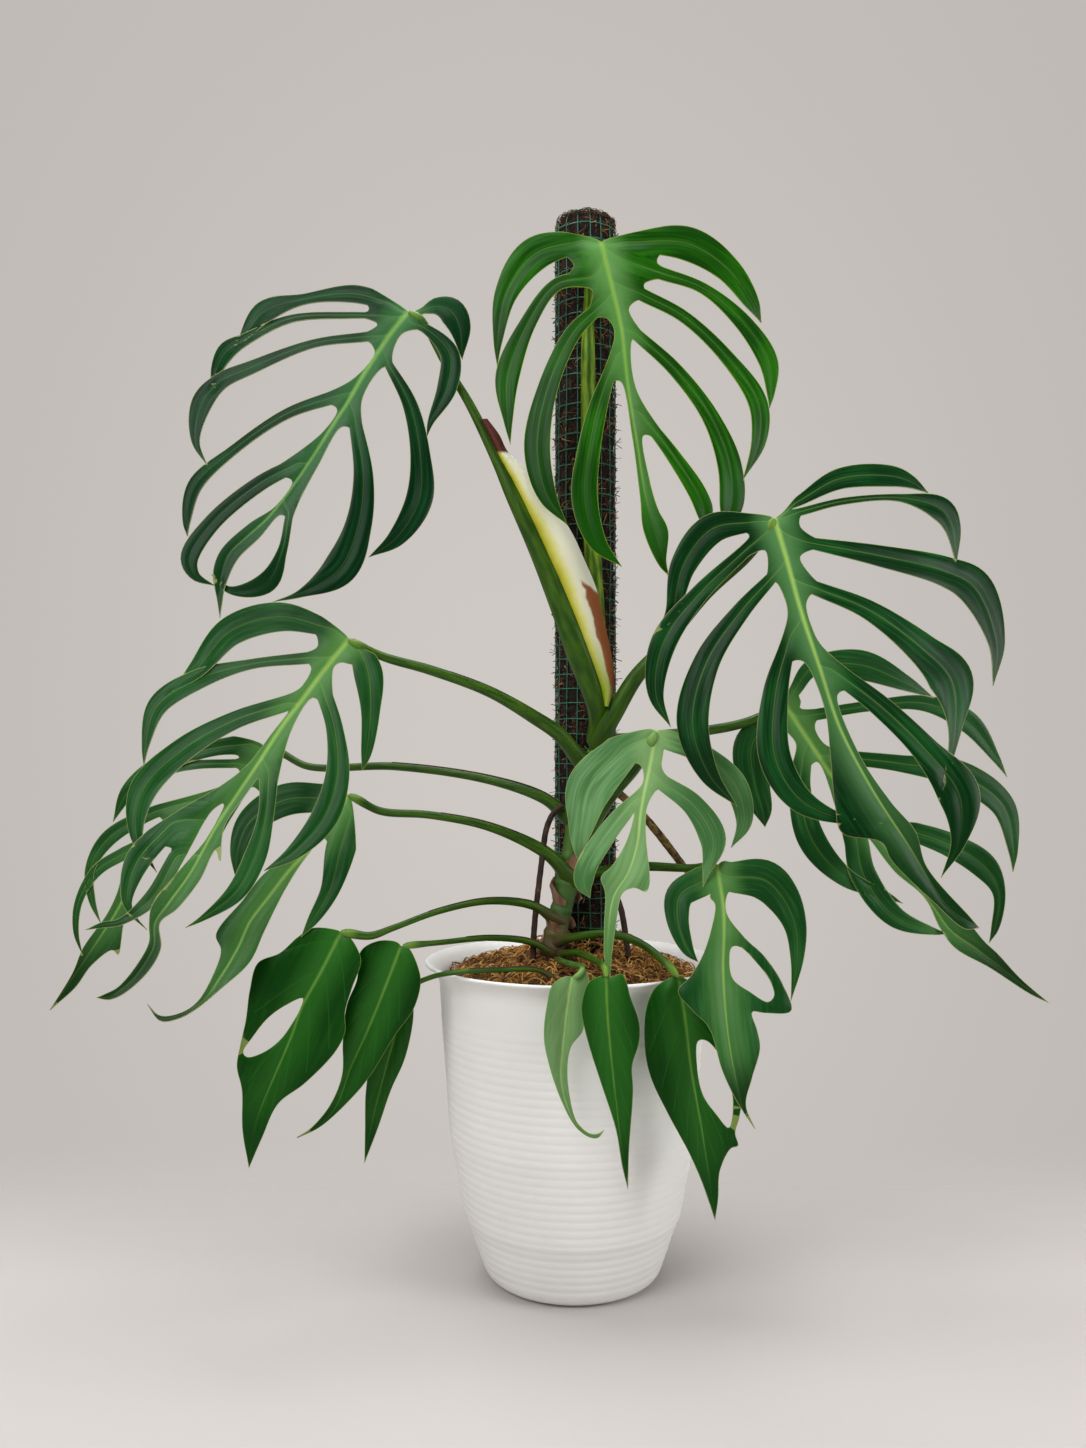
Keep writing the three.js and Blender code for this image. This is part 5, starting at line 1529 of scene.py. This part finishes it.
def lay_over(tree, colour, layers):
    """Lays layers over a colour. Each has what it follows, start, full value, strength, limit and paint."""
    for follows, start, full, strength, limit, paint in layers:
        rise = {"Value": follows, 1: start, 2: full, 4: strength}
        share = add_node(tree, "ShaderNodeMapRange", SMOOTH, rise)
        if limit is not None:
            share = add_node(tree, "ShaderNodeMath", TIMES, {0: share, 1: limit})
        colour = add_node(tree, "ShaderNodeMix", COLOURS, {0: share, 6: colour, 7: linear(paint)})
    return colour


def dress(tree, surface, colour, grain=None, depth=0.0, strength=0.5):
    """Gives a surface its colour and, where it has a grain, relief of a real depth in metres."""
    tree.links.new(colour, surface.inputs["Base Color"])
    if grain is not None:
        relief = {"Strength": strength, "Distance": depth, "Height": grain}
        bump = add_node(tree, "ShaderNodeBump", inputs=relief)
        tree.links.new(bump.outputs[0], surface.inputs["Normal"])


def leaf_material(name, deep, painted_sheen, web, rib_colour, edge_colour, under, roughness, tip):
    """Thick waxy leaf: satin deep green with long soft streaks of painted sheen, sunken pale ribs and a thin
    pale rim.
    """
    material, tree, surface = new_material(name, roughness, **{"Specular IOR Level": LEAF_SHEEN})
    value = {}
    for key in ("mid", "rib", "run", "edge", "reach", "away", "fade", "back", "fine"):
        value[key] = add_node(tree, "ShaderNodeAttribute", {"attribute_name": key}).outputs["Fac"]
    # Painted sheen: long lighter streaks that follow the ribs, 60 mm long and about 4 mm wide
    long = add_node(tree, "ShaderNodeMath", TIMES, {0: value["run"], 1: 0.016})
    wide = add_node(tree, "ShaderNodeMath", TIMES, {0: value["rib"], 1: 0.26})
    flow = add_node(tree, "ShaderNodeCombineXYZ", inputs={0: long, 1: wide})
    streak = add_node(tree, "ShaderNodeTexNoise", inputs={"Vector": flow, "Scale": 1.0, "Detail": 2.0})
    place = add_node(tree, "ShaderNodeTexCoord").outputs["Object"]
    cloud = add_node(tree, "ShaderNodeTexNoise", inputs={"Vector": place, "Scale": 16.0, "Detail": 1.0})
    both = add_node(tree, "ShaderNodeMath", PLUS, {0: streak, 1: cloud})
    blend = add_node(tree, "ShaderNodeMapRange", SMOOTH, {"Value": both, 1: 0.85, 2: 1.35})
    flesh = add_node(tree, "ShaderNodeMix", COLOURS, {0: blend, 6: linear(deep), 7: linear(painted_sheen)})
    # Fine veins run beside the ribs, 6 steps apart, and ribs fade out towards their finger's tip
    turn = add_node(tree, "ShaderNodeMath", TIMES, {0: value["rib"], 1: math.pi / 3})
    wave = add_node(tree, "ShaderNodeMath", {"operation": "COSINE"}, {0: turn})
    fading = add_node(tree, "ShaderNodeMapRange", {}, {"Value": value["reach"], 3: 1.0, 4: 0.3})
    weaker = {"Value": value["fade"], 1: 0.2, 2: 0.85, 3: 0.2, 4: 1.0}
    strong = add_node(tree, "ShaderNodeMapRange", {}, weaker)
    # The flesh pales towards the midrib, then come soft bands, fine veins, ribs, side veins and the midrib
    colour = lay_over(tree, flesh, (
        (value["away"], 30.0, 2.0, 0.9, value["fade"], web),
        (value["rib"], 5.5, 0.5, RIB_GLOW, fading, web),
        (wave, 0.72, 1.0, 0.05, None, web),
        (value["rib"], 0.95, 0.2, RIB_STRENGTH, fading, rib_colour),
        (value["fine"], 0.9, 0.2, 0.35, None, web),
        (value["mid"], 1.5, 0.1, 0.95, strong, rib_colour),
        # Painted shade: the blade darkens towards its tip
        (value["fade"], 0.46, 0.3, 0.8, None, tip),
        (value["edge"], 0.7, 0.1, 0.55, None, edge_colour),
        (value["back"], 0.0, 1.0, 0.6, None, under),
    ))
    dress(tree, surface, colour.outputs[2])
    return material


def stalk_material(name, colour, streak_colour, knuckle_colour, woody_colour, roughness=0.42):
    """Smooth waxy stalk with faint long streaks, paler where it swells and woody where it clasps the stem."""
    material, tree, surface = new_material(name, roughness, **{"Specular IOR Level": 0.3})
    value = {}
    for key in ("run", "left", "round", "foot"):
        value[key] = add_node(tree, "ShaderNodeAttribute", {"attribute_name": key}).outputs["Fac"]
    long = add_node(tree, "ShaderNodeMath", TIMES, {0: value["run"], 1: 0.004})
    wide = add_node(tree, "ShaderNodeMath", {"operation": "PINGPONG"}, {0: value["round"], 1: 0.5})
    flow = add_node(tree, "ShaderNodeCombineXYZ", inputs={0: long, 1: wide})
    streak = add_node(tree, "ShaderNodeTexNoise", inputs={"Vector": flow, "Scale": 9.0, "Detail": 2.0})
    blend = add_node(tree, "ShaderNodeMapRange", SMOOTH, {"Value": streak, 1: 0.35, 2: 0.68})
    body = add_node(tree, "ShaderNodeMix", COLOURS, {0: blend, 6: linear(colour), 7: linear(streak_colour)})
    swollen = lay_over(tree, body, ((value["left"], 18.0, 5.0, 0.7, None, knuckle_colour),))
    final = add_node(tree, "ShaderNodeMix", COLOURS, {0: value["foot"], 6: swollen, 7: linear(woody_colour)})
    dress(tree, surface, final.outputs[2])
    return material


def sheath_material():
    """Papery petiole sheath: green along its keel, cream in the middle, dry red-brown at the tip and foot."""
    material, tree, surface = new_material("papery_petiole_sheath", 0.5, **{"Subsurface Weight": 0.08})
    down = add_node(tree, "ShaderNodeAttribute", {"attribute_name": "down"}).outputs["Fac"]
    side = add_node(tree, "ShaderNodeAttribute", {"attribute_name": "side"}).outputs["Fac"]
    place = add_node(tree, "ShaderNodeTexCoord")
    rough = add_node(tree, "ShaderNodeTexNoise", inputs={"Vector": place.outputs["Object"], "Scale": 60.0})
    shift = add_node(tree, "ShaderNodeMapRange", {}, {"Value": rough, 3: -0.12, 4: 0.12})
    across = add_node(tree, "ShaderNodeMath", PLUS, {0: side, 1: shift})
    body = add_node(tree, "ShaderNodeValToRGB", {"stops": [
        (0.0, "#6a7d0c"), (0.14, "#b8b01a"), (0.3, "#d3cf6a"), (0.5, "#e3dfbe"), (1.0, "#dfddcc"),
    ]}, {0: across})
    # The torn brown patch near the foot keeps to the outer edge
    torn = add_node(tree, "ShaderNodeMath", {"operation": "MULTIPLY_ADD"}, {0: across, 1: 0.16, 2: down})
    foot_end = add_node(tree, "ShaderNodeMapRange", SMOOTH, {"Value": down, 1: 0.02, 2: 0.08})
    outer = add_node(tree, "ShaderNodeMapRange", SMOOTH, {"Value": across, 1: 0.6, 2: 0.68})
    patch = add_node(tree, "ShaderNodeMath", TIMES, {0: foot_end, 1: outer})
    colour = lay_over(tree, body, (
        (down, 0.3, 0.04, 0.9, None, "#8a9a10"),
        (torn, 0.53, 0.51, 1.0, patch, "#8a4a1c"),
        (down, 0.875, 0.89, 1.0, None, "#4a1a0a"),
    ))
    dress(tree, surface, colour.outputs[2], rough, 0.001, 0.3)
    return material


def mottled_material(name, stops, scale, roughness, bump_depth, stretch=(1, 1, 1), attribute=None,
                     **constants):
    """A rough natural surface, coloured through the stops by noise, or by a value that each strand has."""
    material, tree, surface = new_material(name, roughness, **constants)
    place = add_node(tree, "ShaderNodeTexCoord")
    sized = add_node(tree, "ShaderNodeMapping", inputs={"Vector": place.outputs["Object"], "Scale": stretch})
    grain = add_node(tree, "ShaderNodeTexNoise",
                     inputs={"Vector": sized, "Scale": scale, "Detail": 5.0, "Roughness": 0.62})
    level = grain
    if attribute:
        tone = add_node(tree, "ShaderNodeAttribute", {"attribute_name": attribute}).outputs["Fac"]
        some = add_node(tree, "ShaderNodeMapRange", {}, {"Value": grain, 1: 0.3, 2: 0.7, 3: -0.15, 4: 0.15})
        level = add_node(tree, "ShaderNodeMath", PLUS, {0: tone, 1: some})
    ramp = add_node(tree, "ShaderNodeValToRGB", {"stops": stops}, {0: level})
    dress(tree, surface, ramp.outputs[0], grain, bump_depth)
    return material


def pot_material():
    """Matt white polypropylene, moulded: a soft sheen, a very fine grain and nearly one colour all over."""
    stops = [(0.3, "#ebeae7"), (0.7, "#eeedeb")]
    return mottled_material("moulded_white_polypropylene", stops, 30.0, 0.5, 0.00001, ior=1.49)


def stem_material():
    """Living stem: waxy green between the scars, dry orange-brown at one scar and dark brown at the foot."""
    material, tree, surface = new_material("ringed_green_stem", 0.55)
    place = add_node(tree, "ShaderNodeNewGeometry")
    split = add_node(tree, "ShaderNodeSeparateXYZ", inputs={0: place.outputs["Position"]})
    rough = add_node(tree, "ShaderNodeTexNoise",
                     inputs={"Vector": place.outputs["Position"], "Scale": 120.0, "Detail": 5.0})
    shift = add_node(tree, "ShaderNodeMapRange", {}, {"Value": rough, 3: -0.014, 4: 0.014})
    height = add_node(tree, "ShaderNodeMath", PLUS, {0: split.outputs[2], 1: shift})
    level = add_node(tree, "ShaderNodeMapRange", {}, {"Value": height, 1: 0.29, 2: 0.51})
    ramp = add_node(tree, "ShaderNodeValToRGB", {"stops": [
        (0.0, "#2a1a10"), (0.12, "#4a3220"), (0.19, "#5f5a2a"), (0.28, "#3f642a"), (0.45, "#3f6620"),
        (1.0, "#4f7a1e"),
    ]}, {0: level})
    dress(tree, surface, ramp.outputs[0], rough, 0.001)
    return material


# Stage

FLOOR_RADIUS = 14.0
FLOOR_SIDES = 96
FLOOR_FADE_BACK = (-0.04, 0.42)
FLOOR_FADE_ROUND = (1.2, 2.6)
SURROUND = 0.34
SHEEN_SURROUND = 0.06
POOL_AIM = (-0.02, 0.98, 0.03)
POOL_SIZE = (0.62, 1.2, 0.85)
POOL_GAIN = 1.16


def make_floor(paper):
    """A wide paper floor that runs out evenly into the backdrop colour behind the pot and far from it."""
    mesh = bpy.data.meshes.new("paper_floor")
    turns = [2 * math.pi * k / FLOOR_SIDES for k in range(FLOOR_SIDES)]
    mesh.from_pydata([(FLOOR_RADIUS * math.cos(t), FLOOR_RADIUS * math.sin(t), 0) for t in turns], [],
                     [tuple(range(FLOOR_SIDES))])
    floor = bpy.data.objects.new("paper_floor", mesh)
    bpy.context.scene.collection.objects.link(floor)
    material = bpy.data.materials.new("seamless_paper")
    material.use_nodes = True
    tree = material.node_tree
    tree.nodes.clear()
    place = add_node(tree, "ShaderNodeNewGeometry")
    far = add_node(tree, "ShaderNodeVectorMath", {"operation": "LENGTH"}, {0: place.outputs["Position"]})
    split = add_node(tree, "ShaderNodeSeparateXYZ", inputs={0: place.outputs["Position"]})
    behind = add_node(tree, "ShaderNodeMapRange", SMOOTH,
                      {"Value": split.outputs[1], 1: FLOOR_FADE_BACK[0], 2: FLOOR_FADE_BACK[1]})
    out = add_node(tree, "ShaderNodeMapRange", SMOOTH,
                   {"Value": far.outputs["Value"], 1: FLOOR_FADE_ROUND[0], 2: FLOOR_FADE_ROUND[1]})
    share = add_node(tree, "ShaderNodeMath", {"operation": "MAXIMUM"}, {0: behind, 1: out})
    near = add_node(tree, "ShaderNodeBsdfDiffuse", inputs={"Color": linear("#c4c0bd")})
    glow = add_node(tree, "ShaderNodeEmission", inputs={"Color": tuple(paper)})
    clear = add_node(tree, "ShaderNodeBsdfTransparent")
    ray = add_node(tree, "ShaderNodeLightPath")
    away = add_node(tree, "ShaderNodeMixShader",
                    inputs={0: ray.outputs["Is Camera Ray"], 1: glow, 2: clear})
    both = add_node(tree, "ShaderNodeMixShader", inputs={0: share, 1: near, 2: away})
    add_node(tree, "ShaderNodeOutputMaterial", inputs={"Surface": both})
    mesh.materials.append(material)


def make_lights(paper, key_power):
    """Soft studio light: a dim even surround, and large lights at the front left, above and at the right."""
    scene = bpy.context.scene
    scene.view_settings.view_transform = "Standard"
    world = bpy.data.worlds.new("studio_surround")
    world.use_nodes = True
    tree = world.node_tree
    tree.nodes.clear()
    # A painted pool of light: the paper seen behind the plant is a little brighter in a soft patch straight
    # behind it
    look = add_node(tree, "ShaderNodeTexCoord")
    turned = add_node(tree, "ShaderNodeVectorMath", {"operation": "SUBTRACT"},
                      {0: look.outputs["Generated"], 1: POOL_AIM})
    scaled = add_node(tree, "ShaderNodeVectorMath", {"operation": "DIVIDE"}, {0: turned, 1: POOL_SIZE})
    off = add_node(tree, "ShaderNodeVectorMath", {"operation": "LENGTH"}, {0: scaled})
    pool = add_node(tree, "ShaderNodeMapRange", SMOOTH,
                    {"Value": off.outputs["Value"], 1: 1.0, 2: 0.0, 3: 0.965, 4: POOL_GAIN})
    seen_paper = add_node(tree, "ShaderNodeBackground", inputs={"Color": tuple(paper)})
    tree.links.new(pool.outputs[0], seen_paper.inputs["Strength"])
    surround = add_node(tree, "ShaderNodeBackground", inputs={"Color": tuple(paper)})
    ray = add_node(tree, "ShaderNodeLightPath")
    dimmed = add_node(tree, "ShaderNodeMapRange", {},
                      {"Value": ray.outputs["Is Glossy Ray"], 3: SURROUND, 4: SHEEN_SURROUND})
    tree.links.new(dimmed.outputs[0], surround.inputs["Strength"])
    both = add_node(tree, "ShaderNodeMixShader",
                    inputs={0: ray.outputs["Is Camera Ray"], 1: surround, 2: seen_paper})
    add_node(tree, "ShaderNodeOutputWorld", inputs={"Surface": both})
    scene.world = world
    target = Vector((0, 0, 0.55))
    places = {
        "front_softbox": ((-1.3, -1.7, 1.9), 1.5, key_power),
        "top_softbox": ((-0.2, 0.1, 2.5), 1.6, key_power * 1.3),
        "side_softbox": ((1.9, -1.0, 1.1), 1.0, key_power * 0.62),
    }
    for name, (place, size, power) in places.items():
        data = bpy.data.lights.new(name, "AREA")
        data.size = size
        data.energy = power
        light = bpy.data.objects.new(name, data)
        light.location = place
        light.rotation_euler = (target - Vector(place)).to_track_quat("-Z", "Y").to_euler()
        light.visible_camera = False
        scene.collection.objects.link(light)


def make_camera():
    """The eye that the plant is seen from: level, a metre away, at mid height."""
    data = bpy.data.cameras.new("front_eye")
    data.sensor_width = 36
    data.lens = 36 * EYE_REACH / PICTURE_HEIGHT
    data.shift_y = (EYE_V - PICTURE_HEIGHT / 2) / PICTURE_HEIGHT
    camera = bpy.data.objects.new("front_eye", data)
    camera.location = (EYE_X * MM, -EYE_AWAY * MM, EYE_Z * MM)
    camera.rotation_euler = (math.pi / 2, 0, 0)
    bpy.context.scene.collection.objects.link(camera)
    bpy.context.scene.camera = camera


# Settings that a user would change

class PotSettings(bpy.types.PropertyGroup):
    rib_count: bpy.props.IntProperty(
        name="Ribs", description="Number of fine ribs round the pot", default=RIB_COUNT, min=5, max=60)
    rib_depth: bpy.props.FloatProperty(
        name="Rib depth", description="How far a rib stands out of the wall", default=RIB_DEPTH * MM,
        subtype="DISTANCE", unit="LENGTH")


class PoleSettings(bpy.types.PropertyGroup):
    net_pitch: bpy.props.FloatProperty(
        name="Net pitch", description="Distance between two rings of the net", default=NET_PITCH * MM,
        subtype="DISTANCE", unit="LENGTH")
    net_colour: bpy.props.FloatVectorProperty(
        name="Net colour", description="Colour of the plastic-coated wire", subtype="COLOR", size=4,
        default=linear("#2c6a54"), min=0, max=1)


class LeafSettings(bpy.types.PropertyGroup):
    thickness: bpy.props.FloatProperty(
        name="Blade thickness", description="Thickness of a leaf between its ribs",
        default=BLADE_THICKNESS * MM, subtype="DISTANCE", unit="LENGTH")


class StageSettings(bpy.types.PropertyGroup):
    paper: bpy.props.FloatVectorProperty(
        name="Paper", description="Colour of the seamless paper behind the plant", subtype="COLOR", size=4,
        default=linear("#c1bcb7"), min=0, max=1)
    key_power: bpy.props.FloatProperty(
        name="Key light", description="Power of the large front light", default=38.0, unit="POWER")


# Operators, one for each piece or group of like pieces

# Tints of a leaf: deep flesh, the painted sheen of its streaks, web, ribs, edge, underside, roughness and the
# painted shade at its tip
LEAF_COLOURS = {
    "blue": ("#042a0d", "#124a1c", "#4f8048", "#93b85a", "#a8ac6a", "#5f8a5a", 0.33, "#052c0c"),
    "dusky": ("#03260f", "#10401e", "#3f7040", "#6f9c4c", "#a8ac6a", "#5f8a5a", 0.33, "#0a3214"),
    "bright": ("#0a3c00", "#206204", "#5a8e48", "#78a444", "#a6b440", "#5f8a4a", 0.36, "#124a04"),
    "deep": ("#063a04", "#0f4a08", "#2c6a20", "#5f8f38", "#98a85a", "#4f8040", 0.36, "#053808"),
    "middle": ("#103f16", "#285a2a", "#568844", "#86ae52", "#a8b06a", "#6a955c", 0.36, "#042206"),
    "pale": ("#3f6d3a", "#64905a", "#7fa668", "#a6c876", "#b4b878", "#7fa36c", 0.42, "#4f7c3c"),
}
LEAF_TINTS = {
    "leaf_upper_left": "dusky", "leaf_top": "bright", "leaf_right": "blue", "leaf_left_middle": "middle",
    "leaf_left_behind": "middle", "leaf_left_inner": "middle", "leaf_lower_left_outer": "deep",
    "leaf_lower_left_middle": "deep", "leaf_lower_left_inner": "deep", "leaf_small_pale": "pale",
    "leaf_small_dark": "deep", "leaf_lower_right": "deep", "leaf_lower_right_upper": "middle",
    "leaf_centre_pale": "pale", "leaf_right_behind": "middle",
}


class MONSTERA_OT_pot(bpy.types.Operator):
    """Build the ribbed white planter"""
    bl_idname = "monstera.pot"
    bl_label = "Pot"

    def execute(self, context):
        settings = context.scene.monstera_pot
        work = pot_work(settings.rib_count, settings.rib_depth / MM)
        make_piece("planter", work, [pot_material()], ["pot"], sharp=60)
        return {"FINISHED"}


class MONSTERA_OT_mix(bpy.types.Operator):
    """Build the potting mix, its bark chips and its coir"""
    bl_idname = "monstera.mix"
    bl_label = "Potting mix"

    def execute(self, context):
        # Damp coir dust with grains of 4 mm: dark brown and without any shine
        ground = mottled_material("damp_coir_mix", [
            (0.34, "#1c1009"), (0.48, "#45290f"), (0.6, "#76501f"), (0.72, "#9c7232"),
        ], 260.0, 0.92, 0.002)
        # Composted pine bark, each chip its own shade from nearly black to tan
        bark = mottled_material("pine_bark_chip", [
            (0.0, "#2a170a"), (0.35, "#5c3817"), (0.65, "#8a5c28"), (1.0, "#b0803e"),
        ], 180.0, 0.88, 0.0008, attribute="tone")
        # Dry coir, each strand its own shade of golden brown
        coir = mottled_material("loose_coir_strand", [
            (0.0, "#3a220c"), (0.35, "#80531f"), (0.75, "#b48338"), (1.0, "#d8ac66"),
        ], 90.0, 0.8, 0.0003, attribute="tone")
        make_piece("mix_bed", mix_work(), [ground], ["potting_mix"], sharp=180)
        make_piece("mix_litter", mix_litter_work(), [bark, coir], [], sharp=60)
        return {"FINISHED"}


class MONSTERA_OT_pole(bpy.types.Operator):
    """Build the coir core of the climbing pole and its loose strands"""
    bl_idname = "monstera.pole"
    bl_label = "Pole core"

    def execute(self, context):
        # Pressed coir felt with lumps of 5 mm, dark brown, with painted shade that makes it nearly black in
        # its hollows
        felt = mottled_material("felted_dark_coir", [
            (0.36, "#0b0806"), (0.52, "#1d130d"), (0.64, "#3a2618"), (0.76, "#6b482c"),
        ], 190.0, 0.95, 0.0022, stretch=(1, 1, 0.6))
        # Loose strands of the same coir, most dark and a few pale enough to catch the light
        strand = mottled_material("dark_coir_strand", [
            (0.0, "#0f0b09"), (0.35, "#2c1c12"), (0.62, "#5c3a20"), (0.84, "#86562f"), (0.97, "#b98a58"),
        ], 60.0, 0.85, 0.0003, attribute="tone")
        make_piece("pole_core", core_work(), [felt], ["pole_fill"], sharp=180)
        make_piece("pole_strands", strands_work(), [strand], [], sharp=180)
        return {"FINISHED"}


class MONSTERA_OT_net(bpy.types.Operator):
    """Build the coated wire net round the pole"""
    bl_idname = "monstera.net"
    bl_label = "Pole net"

    def execute(self, context):
        settings = context.scene.monstera_pole
        # Wire dipped in soft plastic: an even green with a dull sheen
        wire, _, surface = new_material("green_coated_wire", 0.42)
        surface.inputs["Base Color"].default_value = tuple(settings.net_colour)
        work = net_work(settings.net_pitch / MM)
        make_piece("wire_net", work, [wire], ["pole_net"], sharp=80)
        return {"FINISHED"}


class MONSTERA_OT_stem(bpy.types.Operator):
    """Build the climbing stem and the aerial roots"""
    bl_idname = "monstera.stem"
    bl_label = "Stem and roots"

    def execute(self, context):
        bark = stem_material()
        # Dried sheath, thin as paper, with long upright fibres
        papery = mottled_material("papery_old_sheath", [
            (0.36, "#5a3d28"), (0.5, "#85624a"), (0.66, "#a98669"),
        ], 70.0, 0.6, 0.0006, stretch=(1, 1, 0.25))
        make_piece("climbing_stem", stem_work(), [bark, papery], ["stem"], sharp=80)
        # Corky skin of old roots, dull and nearly black; the young slanting root is spotted yellow
        dark = mottled_material("dark_root_skin", [
            (0.35, "#1c130d"), (0.6, "#3a281a"), (0.75, "#5c4228"),
        ], 140.0, 0.8, 0.0006)
        spotted = mottled_material("spotted_root_skin", [
            (0.4, "#2a1a0e"), (0.52, "#6b4f1e"), (0.66, "#9a8230"),
        ], 170.0, 0.6, 0.0004)
        for name in ROOTS:
            skin = spotted if name == "root_slanting" else dark
            piece = name.replace("root", "aerial_root")
            make_piece(piece, root_work(name), [skin], [name], sharp=180)
        return {"FINISHED"}


class MONSTERA_OT_leaves(bpy.types.Operator):
    """Build the fifteen leaves with their stalks, and the sheath of the long upper one"""
    bl_idname = "monstera.leaves"
    bl_label = "Leaves"

    def execute(self, context):
        thickness = context.scene.monstera_leaf.thickness / MM
        # What is left of a sheath along its stalk: a thin dead brown margin
        dry = mottled_material("dry_sheath_margin", [(0.4, "#22150c"), (0.65, "#4a3220")], 90.0, 0.7, 0.0003)
        tints = {key: leaf_material("waxy_leaf_" + key, *colours) for key, colours in LEAF_COLOURS.items()}
        stalk = stalk_material("waxy_green_petiole", "#234602", "#3a5e06", "#6f9434", "#54402c")
        pale = stalk_material("waxy_pale_petiole", "#2f5210", "#4f7630", "#86b05e", "#54402c")
        young = stalk_material("young_lime_petiole", "#3c6404", "#7d9c22", "#7fa030", "#54402c")
        for number, (name, leaf) in enumerate(LEAVES.items()):
            work = Work()
            add_blade(work, leaf, number + 1, 0, thickness)
            add_petiole(work, leaf, 1)
            if name in DRY_MARGINS:
                add_margin(work, leaf, 2)
            tint = LEAF_TINTS[name]
            skins = [tints[tint], {"bright": young, "pale": pale}.get(tint, stalk)]
            if name in DRY_MARGINS:
                skins.append(dry)
            make_piece(name.replace("leaf", "blade"), work, skins, [name])
        work = Work()
        add_sheath(work, 0)
        make_piece("petiole_sheath", work, [sheath_material()], [])
        return {"FINISHED"}


class MONSTERA_OT_stage(bpy.types.Operator):
    """Make the floor, the soft lights and the camera"""
    bl_idname = "monstera.stage"
    bl_label = "Stage"

    def execute(self, context):
        settings = context.scene.monstera_stage
        make_floor(settings.paper)
        make_lights(settings.paper, settings.key_power)
        make_camera()
        return {"FINISHED"}


class MONSTERA_PT_panel(bpy.types.Panel):
    """Everything that builds the potted monstera"""
    bl_idname = "MONSTERA_PT_panel"
    bl_label = "Potted monstera"
    bl_space_type = "VIEW_3D"
    bl_region_type = "UI"
    bl_category = "Monstera"

    def draw(self, context):
        layout = self.layout
        for group in (context.scene.monstera_pot, context.scene.monstera_pole,
                      context.scene.monstera_leaf, context.scene.monstera_stage):
            for key in group.__annotations__:
                layout.prop(group, key)
        for operator in OPERATORS:
            layout.operator(operator.bl_idname)


GROUPS = {
    "monstera_pot": PotSettings, "monstera_pole": PoleSettings,
    "monstera_leaf": LeafSettings, "monstera_stage": StageSettings,
}
OPERATORS = (
    MONSTERA_OT_stage, MONSTERA_OT_pot, MONSTERA_OT_mix, MONSTERA_OT_pole, MONSTERA_OT_net, MONSTERA_OT_stem,
    MONSTERA_OT_leaves,
)


def register():
    for group in GROUPS.values():
        bpy.utils.register_class(group)
    for name, group in GROUPS.items():
        setattr(bpy.types.Scene, name, bpy.props.PointerProperty(type=group))
    for operator in OPERATORS:
        bpy.utils.register_class(operator)
    bpy.utils.register_class(MONSTERA_PT_panel)


def unregister():
    bpy.utils.unregister_class(MONSTERA_PT_panel)
    for operator in reversed(OPERATORS):
        bpy.utils.unregister_class(operator)
    for name, group in GROUPS.items():
        delattr(bpy.types.Scene, name)
        bpy.utils.unregister_class(group)


def main():
    register()
    bpy.ops.monstera.stage()
    bpy.ops.monstera.pot()
    bpy.ops.monstera.mix()
    bpy.ops.monstera.pole()
    bpy.ops.monstera.net()
    bpy.ops.monstera.stem()
    bpy.ops.monstera.leaves()


if __name__ == "__main__":
    main()
